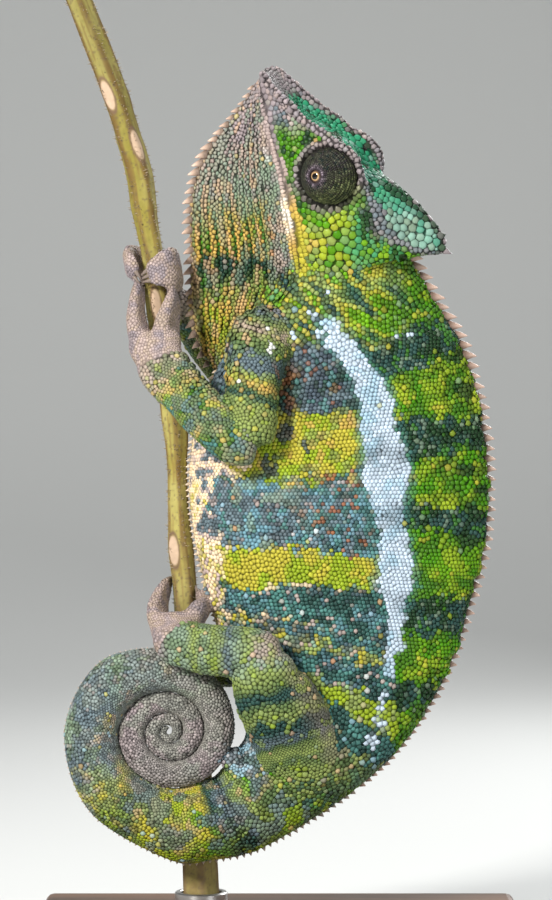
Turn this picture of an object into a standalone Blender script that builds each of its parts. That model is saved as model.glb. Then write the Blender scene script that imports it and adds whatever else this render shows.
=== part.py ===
"""Adult male panther chameleon gripping an upright stem: the solids of a life-size museum model.

Sizes in the tables are millimetres, turned into metres when a mesh is made.
World axes: +Z up, the animal climbs along +Z, its belly faces -X and its left side faces -Y.
"""
import math

import bmesh
import bpy
import numpy as np

for leftover in list(bpy.data.objects):
    bpy.data.objects.remove(leftover, do_unlink=True)

MM = 0.001                 # metres in a millimetre
GAP = 0.3                  # space left between neighbouring pieces
WELD = 0.000001            # metres below which two corners left by a cut are one
SHARPEST = 1.6             # limit on how far a sharp corner moves when a piece is grown

# ---- driving sizes -------------------------------------------------------------------------------
BASE_SIZE = (120.0, 104.0, 9.6)
BASE_BEVEL = 2.0
ROD_RADIUS = 3.4
CUP_RADIUS = 6.4
CUP_FLOOR, CUP_TOP = 13.0, 16.2
STEM_FOOT = 14.4
TAIL_CENTRE = (-26.5, 56.7)          # the coil's middle, as X and Z
EYE_RADIUS = 7.0

# Head frame: the line from the jaw joint to the snout, rolled and turned toward the animal's left.
JAW_JOINT = np.array([4.0, 0.0, 168.0])
SNOUTWARD = np.array([-0.198, 0.0, 0.980])
CROWNWARD = np.array([0.980, 0.0, 0.198])
HEAD_ROLL = math.radians(19.0)
THROAT_ROLL = math.radians(12.0)       # the soft throat hangs straighter than the skull
HEAD_TURN = math.radians(12.0)
HEAD_PIVOT = (-4.0, 10.0)            # along and up from the jaw joint, where head meets neck
NECK_SOFTNESS = 8.0                  # length over which the head's turn dies away behind the pivot

# ---- colours -------------------------------------------------------------------------------------
HEAD_GREEN = (0.13, 0.27, 0.16)
THROAT_TAN = (0.33, 0.30, 0.20)
FLANK_GREEN = (0.14, 0.36, 0.14)
TAIL_OLIVE = (0.30, 0.34, 0.20)
LIMB_OLIVE = (0.24, 0.31, 0.18)
HAND_MAUVE = (0.36, 0.28, 0.26)
EYE_GREY = (0.16, 0.17, 0.12)
STEM_GREEN = (0.42, 0.45, 0.20)
BASE_BROWN = (0.10, 0.06, 0.035)
ROD_GREY = (0.45, 0.45, 0.45)


# ---- helpers -------------------------------------------------------------------------------------
def paint(obj, colour, rough, metal=0.0):
    """Give a piece its own plain Principled material."""
    material = bpy.data.materials.new(obj.name + "_finish")
    material.use_nodes = True
    shader = material.node_tree.nodes["Principled BSDF"]
    shader.inputs["Base Color"].default_value = (*colour, 1.0)
    shader.inputs["Roughness"].default_value = rough
    shader.inputs["Metallic"].default_value = metal
    obj.data.materials.clear()
    obj.data.materials.append(material)


def solid(name, points, faces):
    """A closed mesh object from points in millimetres, its faces turned outward."""
    mesh = bpy.data.meshes.new(name)
    mesh.from_pydata((np.asarray(points) * MM).tolist(), [], faces)
    bm = bmesh.new()
    bm.from_mesh(mesh)
    bmesh.ops.triangulate(bm, faces=bm.faces)
    bmesh.ops.recalc_face_normals(bm, faces=bm.faces)
    bm.to_mesh(mesh)
    bm.free()
    obj = bpy.data.objects.new(name, mesh)
    bpy.context.scene.collection.objects.link(obj)
    return obj


def curve(rows, where):
    """Values along a table of rows, by a Catmull-Rom curve; `where` counts rows from 0."""
    rows = np.asarray(rows, float)
    where = np.clip(np.asarray(where, float), 0.0, len(rows) - 1.0)
    first = np.minimum(where.astype(int), len(rows) - 2)
    t = (where - first)[..., None]
    padded = np.vstack([2 * rows[0] - rows[1], rows, 2 * rows[-1] - rows[-2]])
    a, b, c, d = (padded[first + k] for k in range(4))
    return 0.5 * (2 * b + (c - a) * t + (2 * a - 5 * b + 4 * c - d) * t ** 2
                  + (3 * b - a - 3 * c + d) * t ** 3)


def unit(v):
    return v / np.linalg.norm(v, axis=-1, keepdims=True)


def loft(name, rings, ridges=()):
    """A closed skin over rings of points.

    rings: rings x columns x 3. ridges: tuples (column, spine count in each interval, heights), each
    turns one column into a row of spines: zigzag points stitched to the columns on both sides.
    """
    rings = np.asarray(rings, float)
    count, columns = rings.shape[:2]
    points = [tuple(p) for p in rings.reshape(-1, 3)]
    at = np.arange(count * columns).reshape(count, columns)
    spined = {column: (number, heights) for column, number, heights in ridges}
    faces = []
    for j in range(columns):
        k = (j + 1) % columns
        if j in spined or k in spined:
            continue
        for i in range(count - 1):
            faces.append((at[i, j], at[i, k], at[i + 1, k], at[i + 1, j]))
    middle = rings.mean(axis=1)
    for column, (number, heights) in spined.items():
        left, right = (column - 1) % columns, (column + 1) % columns
        for i in range(count - 1):
            chain = [at[i, column]]
            for s in range(1, 2 * number):
                t = s / (2 * number)
                foot = rings[i, column] * (1 - t) + rings[i + 1, column] * t
                out = unit(foot - (middle[i] * (1 - t) + middle[i + 1] * t))
                rise = heights[i] * (1 - t) + heights[i + 1] * t
                if s % 2:
                    foot = foot + out * rise
                points.append(tuple(foot))
                chain.append(len(points) - 1)
            chain.append(at[i + 1, column])
            half = len(chain) // 2
            for side, flip in ((left, False), (right, True)):
                fan = [(at[i, side], chain[n], chain[n + 1]) for n in range(half)]
                fan.append((at[i, side], chain[half], at[i + 1, side]))
                fan += [(at[i + 1, side], chain[n], chain[n + 1]) for n in range(half, len(chain) - 1)]
                faces += [tri[::-1] for tri in fan] if flip else fan
    for i in (0, count - 1):
        points.append(tuple(middle[i]))
        hub = len(points) - 1
        for j in range(columns):
            faces.append((at[i, j], at[i, (j + 1) % columns], hub))
    return solid(name, points, [tuple(int(v) for v in face) for face in faces])


def evaluated(obj, modifier):
    """Apply one modifier by taking the evaluated mesh."""
    graph = bpy.context.evaluated_depsgraph_get()
    mesh = bpy.data.meshes.new_from_object(obj.evaluated_get(graph))
    obj.modifiers.remove(modifier)
    obj.data = mesh


def combine(obj, other, operation):
    """Cut or join another closed mesh, which is used up."""
    modifier = obj.modifiers.new(operation.lower(), "BOOLEAN")
    modifier.operation = operation
    modifier.object = other
    evaluated(obj, modifier)
    bpy.data.objects.remove(other, do_unlink=True)


def grown(obj, by):
    """A copy of a piece whose surface stands `by` millimetres further out."""
    bm = bmesh.new()
    bm.from_mesh(obj.data)
    bm.normal_update()
    moved = [(v, v.co + v.normal * min(v.calc_shell_factor(), SHARPEST) * by * MM) for v in bm.verts]
    for vertex, place in moved:
        vertex.co = place
    mesh = bpy.data.meshes.new(obj.name + "_grown")
    bm.to_mesh(mesh)
    bm.free()
    copy = bpy.data.objects.new(mesh.name, mesh)
    bpy.context.scene.collection.objects.link(copy)
    return copy


def keep_largest(obj):
    """Drop slivers that a cut has separated from the main body, and weld needle edges."""
    bm = bmesh.new()
    bm.from_mesh(obj.data)
    bmesh.ops.triangulate(bm, faces=bm.faces)
    bmesh.ops.remove_doubles(bm, verts=bm.verts, dist=WELD)
    seen, groups = set(), []
    for start in bm.verts:
        if start in seen:
            continue
        group, stack = [], [start]
        seen.add(start)
        while stack:
            vertex = stack.pop()
            group.append(vertex)
            for edge in vertex.link_edges:
                other = edge.other_vert(vertex)
                if other not in seen:
                    seen.add(other)
                    stack.append(other)
        groups.append(group)
    groups.sort(key=len)
    for group in groups[:-1]:
        bmesh.ops.delete(bm, geom=group, context="VERTS")
    bmesh.ops.recalc_face_normals(bm, faces=bm.faces)
    bm.to_mesh(obj.data)
    bm.free()


def fit(obj, neighbours, gap=GAP):
    """Cut a piece back so that it clears each neighbour by the gap."""
    for other in neighbours:
        combine(obj, grown(other, gap), "DIFFERENCE")
    keep_largest(obj)


# ---- body: neck, trunk and tail as one run of cross-sections ----------------------------------------
# Each row: back edge X, Y, Z, belly edge X, Y, Z, half-width. The first rows carry the head's roll.
BODY = [
    (28.0, -4.2, 174.0, 2.0, 1.8, 174.0, 8.6),
    (32.2, -3.6, 168.0, 0.0, 1.5, 167.0, 9.6),
    (34.6, -2.8, 164.4, -3.5, 1.2, 161.4, 10.0),
    (37.2, -1.8, 159.6, -7.0, 0.8, 156.0, 10.6),
    (40.6, -0.9, 154.4, -11.0, 0.4, 150.0, 11.3),
    (43.7, -0.3, 149.3, -15.4, 0.1, 143.0, 12.3),
    (45.8, 0.0, 143.0, -18.6, 0.0, 135.6, 13.2),
    (48.2, 0.0, 134.0, -21.0, 0.0, 127.5, 14.0),
    (49.7, 0.0, 124.0, -21.9, 0.0, 119.5, 14.5),
    (50.3, 0.0, 114.0, -22.0, 0.0, 113.0, 14.5),
    (49.9, 0.0, 104.0, -21.2, 0.0, 106.0, 14.2),
    (48.2, 0.0, 95.0, -20.0, 0.0, 98.4, 13.6),
    (46.0, 0.0, 87.0, -18.0, 0.0, 90.2, 13.0),
    (43.7, 0.0, 78.7, -15.6, 0.0, 82.0, 12.2),
    (40.5, 0.0, 70.7, -13.2, 0.0, 74.0, 11.4),
    (36.5, 0.0, 62.8, -10.8, 0.0, 66.0, 10.7),
    (31.7, 0.0, 55.7, -8.8, 0.0, 59.4, 10.1),
    (25.9, 0.0, 48.8, -8.4, 0.0, 54.8, 9.6),
    (19.0, -0.2, 42.7, -10.6, -0.1, 51.6, 9.4),
    (11.4, -0.6, 37.2, -12.2, -0.5, 49.0, 8.9),
    (2.5, -1.4, 31.8, -13.6, -1.3, 47.9, 8.5),
    (-6.5, -2.4, 27.3, -15.8, -2.4, 45.8, 8.2),
    (-16.6, -3.5, 25.5, -20.4, -3.5, 44.2, 7.9),
]
NECK_END, TRUNK_END = 4.6, 18.0     # rows where the neck and the trunk end
SPIRAL_START = len(BODY) - 1

# The coil's outer radius at each eighth of a turn, from straight below its middle.
COIL_RADII = [30.8, 26.9, 24.8, 23.2, 19.4, 16.7, 15.6, 14.4, 13.4, 12.6, 12.0, 10.6, 9.4, 8.8, 8.4,
              7.8, 7.1, 6.4, 5.7, 5.0, 4.3, 3.8, 3.3, 3.1, 2.9, 2.6, 2.1, 1.7, 1.3]
COIL_GAP = 0.35                     # clear space between one turn and the next
COIL_LEAN = (-4.6, -5.6)            # Y of the coil's middle at its start and from 3 eighths on
TIP_THICKNESS = (3.1, 1.2)          # of the innermost turn, at its start and at the tip
COIL_STEPS = len(COIL_RADII) - 1
INNER_TURN = COIL_STEPS - 8         # eighths after which no further turn lies inside


def coil_row(eighths):
    """Edges and half-width of the tail, `eighths` of a turn along the coil from straight below."""
    turn = math.radians(45.0) * eighths
    heading = np.array([-math.sin(turn), 0.0, -math.cos(turn)])
    radii = np.array(COIL_RADII)[:, None]
    outer = float(curve(radii, eighths)[0])
    if eighths <= INNER_TURN:
        inner = float(curve(radii, eighths + 8)[0]) + COIL_GAP
    else:
        part = (eighths - INNER_TURN) / 8.0
        inner = outer - TIP_THICKNESS[0] * (1 - part) - TIP_THICKNESS[1] * part
    inner = max(inner, COIL_GAP)
    lean = COIL_LEAN[0] + (COIL_LEAN[1] - COIL_LEAN[0]) * min(eighths / 3.0, 1.0)
    centre = np.array([TAIL_CENTRE[0], lean, TAIL_CENTRE[1]])
    thickness = outer - inner
    return (*(centre + heading * outer), *(centre + heading * inner), 0.40 * thickness + 0.5)


BODY_ROWS = np.array(BODY + [coil_row(e) for e in range(COIL_STEPS + 1)])
COIL_AT = len(BODY)                 # row number of the coil's first row
TAIL_BASE_END = COIL_AT + 1.0
TAIL_OUTER_END = COIL_AT + 6.0
TAIL_MIDDLE_END = COIL_AT + 14.0
TAIL_END = len(BODY_ROWS) - 1.0


def width_profile(up):
    """Half-width over the height of a section: keeled back and belly, fullest below the middle."""
    shifted = up + 0.14 * (1 - up * up)
    return np.power(np.maximum(1.0 - np.abs(shifted) ** 2.3, 0.0), 0.60)


def body_rings(start, end, rings, columns):
    """Cross-sections of the body between two row numbers."""
    where = np.linspace(start, end, rings)
    rows = curve(BODY_ROWS, where)
    back, belly, half = rows[:, :3], rows[:, 3:6], rows[:, 6]
    theta = np.linspace(0.0, 2 * np.pi, columns, endpoint=False)
    up = np.cos(theta)
    side = np.sign(np.sin(theta)) * width_profile(up)
    side[np.abs(np.sin(theta)) < 1e-9] = 0.0
    axis = unit(back - belly)
    left = np.array([0.0, -1.0, 0.0])
    left = unit(left - axis * (axis @ left)[:, None])
    middle = (back + belly) / 2
    reach = np.linalg.norm(back - belly, axis=1) / 2
    return (middle[:, None] + axis[:, None] * (reach[:, None] * up)[..., None]
            + left[:, None] * (half[:, None] * side)[..., None])


def half_gap(row):
    """Half of GAP counted in rows, where the belly edge passes this row."""
    before, after = curve(BODY_ROWS, [row - 0.05, row + 0.05])[:, 3:6]
    return GAP / 2 * 0.1 / np.linalg.norm(after - before)


def body_piece(name, start, end, rings, columns, colour, spines=None):
    """One length of the body. spines: tuples (column, spines per interval, first and last height)."""
    rings = body_rings(start + half_gap(start), end - half_gap(end), rings, columns)
    ridges = []
    if spines:
        count = len(rings)
        for column, number, tall, low in spines:
            ridges.append((column, number, np.linspace(tall, low, count)))
    obj = loft(name, rings, ridges)
    paint(obj, colour, 0.6)
    return obj


def make_body():
    neck = body_piece("neck", 0.4, NECK_END, 7, 16, FLANK_GREEN, [(0, 1, 2.3, 2.3)])
    trunk = body_piece("trunk", NECK_END, TRUNK_END, 24, 16, FLANK_GREEN,
                       [(0, 2, 2.0, 0.9), (8, 1, 0.9, 0.6)])
    tail_base = body_piece("tail_base", TRUNK_END, TAIL_BASE_END, 10, 14, TAIL_OLIVE,
                           [(0, 2, 0.8, 0.5)])
    tail_outer = body_piece("tail_outer", TAIL_BASE_END, TAIL_OUTER_END, 13, 14, TAIL_OLIVE,
                            [(0, 2, 0.5, 0.3)])
    tail_middle = body_piece("tail_middle", TAIL_OUTER_END, TAIL_MIDDLE_END, 18, 10, TAIL_OLIVE)
    tail_tip = body_piece("tail_tip", TAIL_MIDDLE_END, TAIL_END, 21, 8, TAIL_OLIVE)
    return neck, trunk, tail_base, tail_outer, tail_middle, tail_tip


# ---- head ------------------------------------------------------------------------------------------
# Each line runs from the snout to the back of the casque, as rows of along, up, out (left half).
# The two raised crests run from the snout over the eyes to the casque, where they meet the midline.
CROWN = [(47.7, 1.7, 0), (46.1, 2.9, 0), (42.9, 4.7, 0), (39.8, 7.1, 0), (36.0, 9.7, 0), (31.9, 14.0, 0),
         (28.0, 17.7, 0), (24.2, 20.0, 0), (20.3, 21.7, 0), (16.5, 26.4, 0), (12.7, 29.9, 0),
         (8.6, 33.0, 0), (4.3, 35.4, 0), (-0.1, 37.1, 0), (-3.3, 36.9, 0)]
CROWN_SIDE = [(47.6, 1.8, 1.5), (45.9, 3.0, 2.5), (42.8, 4.8, 3.2), (39.6, 7.2, 4.0), (35.9, 9.8, 4.5),
              (31.7, 14.1, 4.9), (27.9, 17.8, 4.7), (24.0, 20.0, 4.3), (20.1, 21.6, 4.2),
              (16.4, 24.2, 5.0), (12.7, 26.4, 4.8), (8.7, 28.5, 4.6), (4.8, 30.7, 4.0), (0.7, 33.3, 2.4),
              (-2.8, 35.9, 0.9)]
CREST = [(47.4, 1.9, 3.0), (45.8, 3.2, 5.5), (42.6, 5.2, 6.4), (39.5, 7.8, 7.4), (35.7, 10.6, 8.2),
         (31.6, 15.0, 9.0), (27.7, 18.7, 8.7), (23.9, 21.0, 8.2), (20.0, 22.2, 7.7), (16.2, 23.1, 7.9),
         (12.5, 24.0, 8.6), (8.9, 25.1, 8.9), (5.4, 26.1, 7.8), (1.7, 28.0, 5.8), (-2.4, 34.9, 1.6)]
UNDER_CREST = [(47.3, 1.5, 2.9), (45.6, 2.8, 5.0), (42.4, 4.6, 5.6), (39.3, 7.1, 6.5), (35.5, 9.6, 7.3),
               (31.3, 13.6, 8.1), (27.5, 17.1, 8.2), (23.8, 19.3, 8.1), (20.1, 20.5, 8.0),
               (16.3, 21.4, 8.3), (12.6, 22.1, 8.9), (8.9, 23.0, 9.1), (5.4, 23.9, 8.4), (1.8, 25.7, 6.8),
               (-2.2, 31.8, 3.7)]
TEMPLE = [(47.1, 1.0, 3.1), (45.3, 2.2, 4.6), (42.1, 3.9, 5.4), (38.9, 6.0, 6.2), (35.2, 8.2, 7.0),
          (31.0, 11.6, 7.8), (27.3, 15.0, 8.4), (23.7, 17.1, 8.8), (20.1, 18.1, 9.2), (16.5, 18.6, 9.8),
          (12.7, 19.1, 10.2), (9.0, 19.7, 10.4), (5.4, 20.3, 10.2), (1.8, 22.1, 9.4), (-1.9, 26.7, 7.4)]
CHEEK = [(46.8, 0.6, 3.0), (44.9, 1.5, 4.4), (41.5, 2.8, 5.4), (38.3, 4.4, 6.4), (34.5, 5.8, 7.4),
         (30.6, 7.5, 8.4), (27.0, 9.3, 9.2), (23.4, 10.6, 9.9), (20.0, 11.3, 10.5), (16.4, 11.8, 11.2),
         (12.6, 12.1, 11.6), (8.8, 12.3, 11.6), (5.0, 12.7, 11.4), (1.3, 13.4, 10.8), (-2.5, 16.8, 9.8)]
LIP = [(46.3, 0.2, 2.8), (44.5, 0.8, 4.0), (41.3, 1.8, 5.2), (38.1, 2.7, 6.3), (34.3, 3.7, 7.3),
       (30.3, 4.6, 8.2), (26.7, 5.5, 9.0), (23.1, 6.3, 9.7), (19.7, 6.7, 10.3), (16.1, 7.2, 10.9),
       (12.3, 7.5, 11.2), (8.5, 7.5, 11.2), (4.7, 7.7, 11.0), (1.0, 8.0, 10.4), (-3.0, 10.1, 9.4)]
MOUTH = [(45.5, -0.1, 1.8), (44.1, 0.3, 3.0), (40.9, 0.8, 4.4), (37.7, 1.4, 5.5), (33.9, 1.8, 6.4),
         (29.9, 2.3, 7.2), (26.3, 2.8, 7.9), (22.7, 3.2, 8.6), (19.3, 3.5, 9.3), (15.7, 3.8, 9.9),
         (11.9, 4.1, 10.3), (8.1, 4.1, 10.4), (4.3, 3.8, 10.2), (0.5, 3.4, 9.6), (-3.6, 2.8, 8.6)]
HEAD_LINES = [CROWN, CROWN_SIDE, CREST, UNDER_CREST, TEMPLE, CHEEK, LIP, MOUTH]

# The lower jaw and throat, from the chin backward. Depth of the throat's edge below the jaw line.
THROAT_EDGE = [(44.9, -1.2), (44.1, -2.5), (41.5, -4.6), (38.6, -7.7), (35.1, -11.7), (31.4, -15.9),
               (27.4, -19.2), (23.2, -21.6), (19.0, -23.1), (14.4, -24.2), (9.6, -25.0), (4.4, -26.0),
               (-1.0, -27.2), (-6.6, -28.3), (-12.6, -28.7), (-18.4, -28.0), (-23.2, -25.8)]
JAW_PARTING = 9                     # the row where lower jaw and throat pouch part


def roll_at(height):
    """The skull's roll; it dies away down the soft throat."""
    share = np.clip((height + 30.0) / 22.0, 0.0, 1.0)
    return THROAT_ROLL + (HEAD_ROLL - THROAT_ROLL) * share ** 2 * (3 - 2 * share)


def head_place(along, up, out):
    """World place of a point given in the head's frame, in millimetres."""
    reach, height = along - HEAD_PIVOT[0], up - HEAD_PIVOT[1]
    roll = roll_at(height)
    sideways = height * np.sin(roll) + out * np.cos(roll)
    seen_up = height * np.cos(roll) - out * np.sin(roll) + HEAD_PIVOT[1]
    seen_along = reach * math.cos(HEAD_TURN) - sideways * math.sin(HEAD_TURN) + HEAD_PIVOT[0]
    turned = (reach + np.sqrt(reach ** 2 + NECK_SOFTNESS ** 2) - NECK_SOFTNESS) / 2
    toward_left = turned * math.sin(HEAD_TURN) + sideways * math.cos(HEAD_TURN)
    place = (JAW_JOINT + np.multiply.outer(seen_along, SNOUTWARD)
             + np.multiply.outer(seen_up, CROWNWARD))
    place[..., 1] -= toward_left
    return place


def mirrored(lines, floor):
    """Rings of the head: each line on the left, its mirror on the right, closed below by a floor."""
    left = np.array(lines)
    right = left[:0:-1] * np.array([1.0, 1.0, -1.0])
    ring = np.concatenate([left, floor, right]).transpose(1, 0, 2)
    return head_place(ring[..., 0], ring[..., 1], ring[..., 2])


def make_head():
    palate = np.array(MOUTH) * np.array([1.0, 1.0, 0.0])
    obj = loft("head", mirrored(HEAD_LINES, palate[None]))
    paint(obj, HEAD_GREEN, 0.6)
    return obj


def throat_rows():
    """Lines of the lower jaw and throat: mouth, jaw side, pouch wall, edge side and the edge."""
    edge = np.array(THROAT_EDGE)
    rows = len(edge)
    mouth = np.array(MOUTH)
    tail_rows = rows - len(mouth)
    beyond = mouth[-1] + np.outer(np.arange(1, tail_rows + 1), [-6.0, -6.6, -1.6])
    mouth = np.vstack([mouth, beyond])
    top = mouth - np.array([0.0, GAP + 0.05, 0.0])
    keel = np.column_stack([edge, np.zeros(rows)])
    lines = [top]
    for share, swell in ((0.16, 1.02), (0.36, 0.74), (0.58, 0.44), (0.80, 0.24), (0.94, 0.12)):
        line = top * (1 - share) + keel * share
        line[:, 2] = top[:, 2] * swell + 0.25
        lines.append(line)
    lines.append(keel)
    return lines


def make_throat():
    lines = throat_rows()
    pieces = []
    stretches = {"lower_jaw": slice(0, JAW_PARTING + 1), "throat_pouch": slice(JAW_PARTING, None)}
    for name, rows in stretches.items():
        part = [line[rows].copy() for line in lines]
        if name == "throat_pouch":
            for line in part:
                line[0, 0] -= 0.35
        roof = part[0] * np.array([1.0, 1.0, 0.0])
        left = np.array(part)
        right = left[-2::-1] * np.array([1.0, 1.0, -1.0])
        ring = np.concatenate([left, right, roof[None]]).transpose(1, 0, 2)
        rings = head_place(ring[..., 0], ring[..., 1], ring[..., 2])
        keel_column = len(part) - 1
        heights = np.full(len(rings), 1.7)
        obj = loft(name, rings, [(keel_column, 1, heights)])
        paint(obj, THROAT_TAN, 0.6)
        pieces.append(obj)
    return pieces


# ---- eyes ------------------------------------------------------------------------------------------
EYE_ALONG, EYE_UP, EYE_OUT = 20.6, 14.4, 8.2
EYE_AIM = (0.20, -0.26, 0.95)       # along, up and out: where the pupil's opening looks
TURRET = [(-1.0, 0.0), (-0.86, 0.50), (-0.5, 0.86), (0.0, 1.0), (0.42, 0.90), (0.74, 0.66), (0.92, 0.42),
          (1.0, 0.26), (1.0, 0.0)]  # profile: along the aim and out from it, as shares of the radius


def make_eye(side, name):
    """An eye turret: a cone of fused lids that narrows to a small round opening."""
    centre = head_place(EYE_ALONG, EYE_UP, EYE_OUT * side)
    ahead = head_place(EYE_ALONG + EYE_AIM[0], EYE_UP + EYE_AIM[1], (EYE_OUT + EYE_AIM[2]) * side)
    aim = unit(ahead - centre)
    across = unit(np.cross(aim, [0.0, 0.0, 1.0]))
    upward = np.cross(across, aim)
    theta = np.linspace(0, 2 * np.pi, 14, endpoint=False)
    rings = [centre + aim * x * EYE_RADIUS
             + (np.outer(np.cos(theta), across) + np.outer(np.sin(theta), upward)) * r * EYE_RADIUS
             for x, r in TURRET[1:-1]]
    obj = loft(name, np.array(rings))
    paint(obj, EYE_GREY, 0.5)
    return obj


# ---- limbs -----------------------------------------------------------------------------------------
def tube(name, rows, columns=12, steps=2, upright=False):
    """A tapering limb along rows of X, Y, Z, half-width, half-depth.

    The half-width lies in the plane of the flank or, where the path wraps round the stem, upright.
    """
    rows = np.asarray(rows, float)
    where = np.linspace(0, len(rows) - 1, (len(rows) - 1) * steps + 1)
    fine = curve(rows, where)
    path, wide, deep = fine[:, :3], fine[:, 3], fine[:, 4]
    along = unit(np.gradient(path, axis=0))
    flat = np.array([0.0, 0.0, 1.0]) - along * along[:, 2:] if upright else np.cross(along, [0.0, 1.0, 0.0])
    flat = unit(flat)
    across = np.cross(along, flat)
    theta = np.linspace(0, 2 * np.pi, columns, endpoint=False)
    rings = (path[:, None] + flat[:, None] * (wide[:, None] * np.cos(theta))[..., None]
             + across[:, None] * (deep[:, None] * np.sin(theta))[..., None])
    return loft(name, rings)


LEFT_ARM_UPPER = [(1.0, -5.0, 152.6, 6.5, 5.0), (-4.6, -10.4, 148.8, 8.2, 6.0),
                  (-6.2, -14.2, 141.4, 7.0, 5.8), (-6.2, -16.8, 134.0, 6.1, 5.4),
                  (-6.2, -18.2, 128.6, 5.6, 5.2), (-7.0, -18.6, 125.0, 4.6, 4.8)]
LEFT_ARM_LOWER = [(-5.4, -18.6, 124.6, 3.6, 4.0), (-8.6, -18.4, 124.8, 5.2, 5.0),
                  (-12.4, -17.8, 126.8, 5.6, 5.0), (-17.2, -16.0, 131.6, 6.0, 5.0),
                  (-22.0, -13.4, 136.6, 5.8, 4.8), (-26.0, -11.2, 140.6, 5.7, 4.5),
                  (-28.4, -9.9, 143.6, 5.7, 4.3)]
RIGHT_ARM_UPPER = [(4.0, 5.0, 154.0, 6.5, 5.0), (-0.6, 10.8, 151.4, 7.0, 5.6),
                   (-4.0, 14.8, 146.4, 6.3, 5.4), (-6.4, 17.6, 141.0, 5.4, 5.0),
                   (-7.2, 18.2, 138.4, 4.4, 4.6)]
RIGHT_ARM_LOWER = [(-5.6, 17.8, 137.8, 3.4, 4.0), (-8.4, 17.8, 139.2, 5.0, 4.8),
                   (-12.0, 17.0, 142.6, 5.5, 4.9), (-17.0, 15.2, 148.6, 5.4, 4.7),
                   (-22.0, 12.8, 155.0, 4.8, 4.2), (-27.0, 9.6, 161.6, 4.6, 3.9)]
LEFT_LEG_UPPER = [(8.5, -2.4, 42.5, 10.0, 4.4), (6.2, -6.0, 49.0, 11.0, 5.6),
                  (3.0, -9.6, 56.6, 10.2, 6.4), (0.0, -13.8, 62.8, 9.8, 7.0), (-3.0, -16.4, 69.0, 8.8, 6.6),
                  (-3.0, -17.8, 74.0, 6.6, 6.0), (-2.6, -18.2, 77.6, 4.6, 5.0)]
LEFT_LEG_LOWER = [(0.6, -18.0, 76.0, 3.6, 4.2), (-2.8, -17.9, 76.0, 5.4, 5.2),
                  (-8.0, -17.4, 76.3, 6.1, 5.2), (-14.0, -16.0, 76.5, 6.3, 5.0),
                  (-20.0, -13.8, 77.4, 6.0, 4.6), (-24.4, -11.8, 78.8, 5.4, 4.2)]
RIGHT_LEG_UPPER = [(8.5, 2.4, 42.5, 10.0, 4.4), (6.4, 6.0, 49.0, 11.0, 5.6),
                   (3.4, 9.8, 56.2, 10.2, 6.4), (1.6, 14.0, 61.4, 9.2, 7.0),
                   (-0.2, 16.8, 66.6, 7.6, 6.6), (-1.4, 18.2, 70.4, 6.2, 6.0),
                   (-2.0, 18.6, 73.6, 4.6, 5.0)]
RIGHT_LEG_LOWER = [(0.8, 18.4, 72.0, 3.6, 4.2), (-2.4, 18.4, 71.8, 5.4, 5.2),
                   (-7.2, 18.2, 71.4, 6.0, 5.2), (-12.6, 17.4, 71.0, 6.0, 4.9),
                   (-17.4, 15.8, 70.8, 5.6, 4.5), (-20.6, 14.0, 70.8, 5.0, 4.1)]

# Hands and feet: a palm and two opposed bundles of fused toes, each a path round the stem.
LEFT_HAND = {
    "palm": [(-28.9, -9.4, 144.8, 5.7, 4.1), (-29.6, -8.4, 148.0, 6.6, 4.1),
             (-30.0, -7.2, 151.2, 6.2, 3.5)],
    "outer": [(-33.0, -7.6, 149.2, 3.6, 3.4), (-34.0, -6.6, 153.8, 2.8, 3.2),
              (-34.2, -4.7, 158.0, 2.3, 2.9), (-33.9, -2.4, 161.3, 2.0, 2.4),
              (-33.5, -0.8, 163.0, 1.4, 1.7)],
    "inner": [(-26.8, -7.8, 149.2, 4.0, 3.4), (-26.9, -6.8, 152.8, 3.6, 3.1),
              (-26.2, -5.4, 156.3, 2.9, 2.8), (-25.4, -3.4, 159.5, 2.1, 2.4),
              (-25.1, -1.8, 161.4, 1.3, 1.7)],
}
RIGHT_HAND = {
    "palm": [(-27.4, 9.2, 162.2, 4.7, 3.7), (-29.0, 7.8, 165.6, 5.4, 3.8),
             (-30.4, 6.8, 168.6, 4.8, 3.2)],
    "outer": [(-31.0, 7.4, 167.6, 3.2, 3.2), (-34.6, 5.0, 169.4, 3.4, 2.6),
              (-36.2, 1.4, 169.2, 3.6, 2.2), (-35.8, -2.2, 167.6, 3.0, 2.0),
              (-34.4, -4.0, 165.2, 1.7, 1.6)],
    "inner": [(-28.6, 7.4, 166.2, 3.6, 3.2), (-25.6, 4.6, 166.6, 4.4, 2.6),
              (-25.0, 0.6, 166.8, 4.9, 2.3), (-26.4, -3.4, 166.8, 4.6, 2.2),
              (-29.2, -5.0, 166.0, 3.2, 2.0), (-31.8, -4.9, 165.0, 1.8, 1.6)],
}
LEFT_FOOT = {
    "palm": [(-24.6, -11.4, 79.0, 5.6, 3.9), (-24.8, -9.4, 81.0, 6.2, 4.0),
             (-24.9, -7.4, 84.8, 6.0, 3.3)],
    "outer": [(-27.0, -8.6, 80.6, 3.9, 3.4), (-28.9, -6.0, 84.2, 3.1, 3.0),
              (-28.6, -2.8, 87.8, 2.7, 2.7), (-27.4, 0.6, 90.6, 2.2, 2.4),
              (-26.6, 2.0, 92.0, 1.5, 1.7)],
    "inner": [(-21.4, -8.2, 82.0, 3.8, 3.3), (-19.6, -6.4, 84.8, 3.2, 2.9),
              (-18.4, -4.0, 86.4, 2.4, 2.4), (-18.8, -1.0, 88.4, 1.9, 2.0),
              (-19.4, 0.4, 89.6, 1.3, 1.5)],
}
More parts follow.
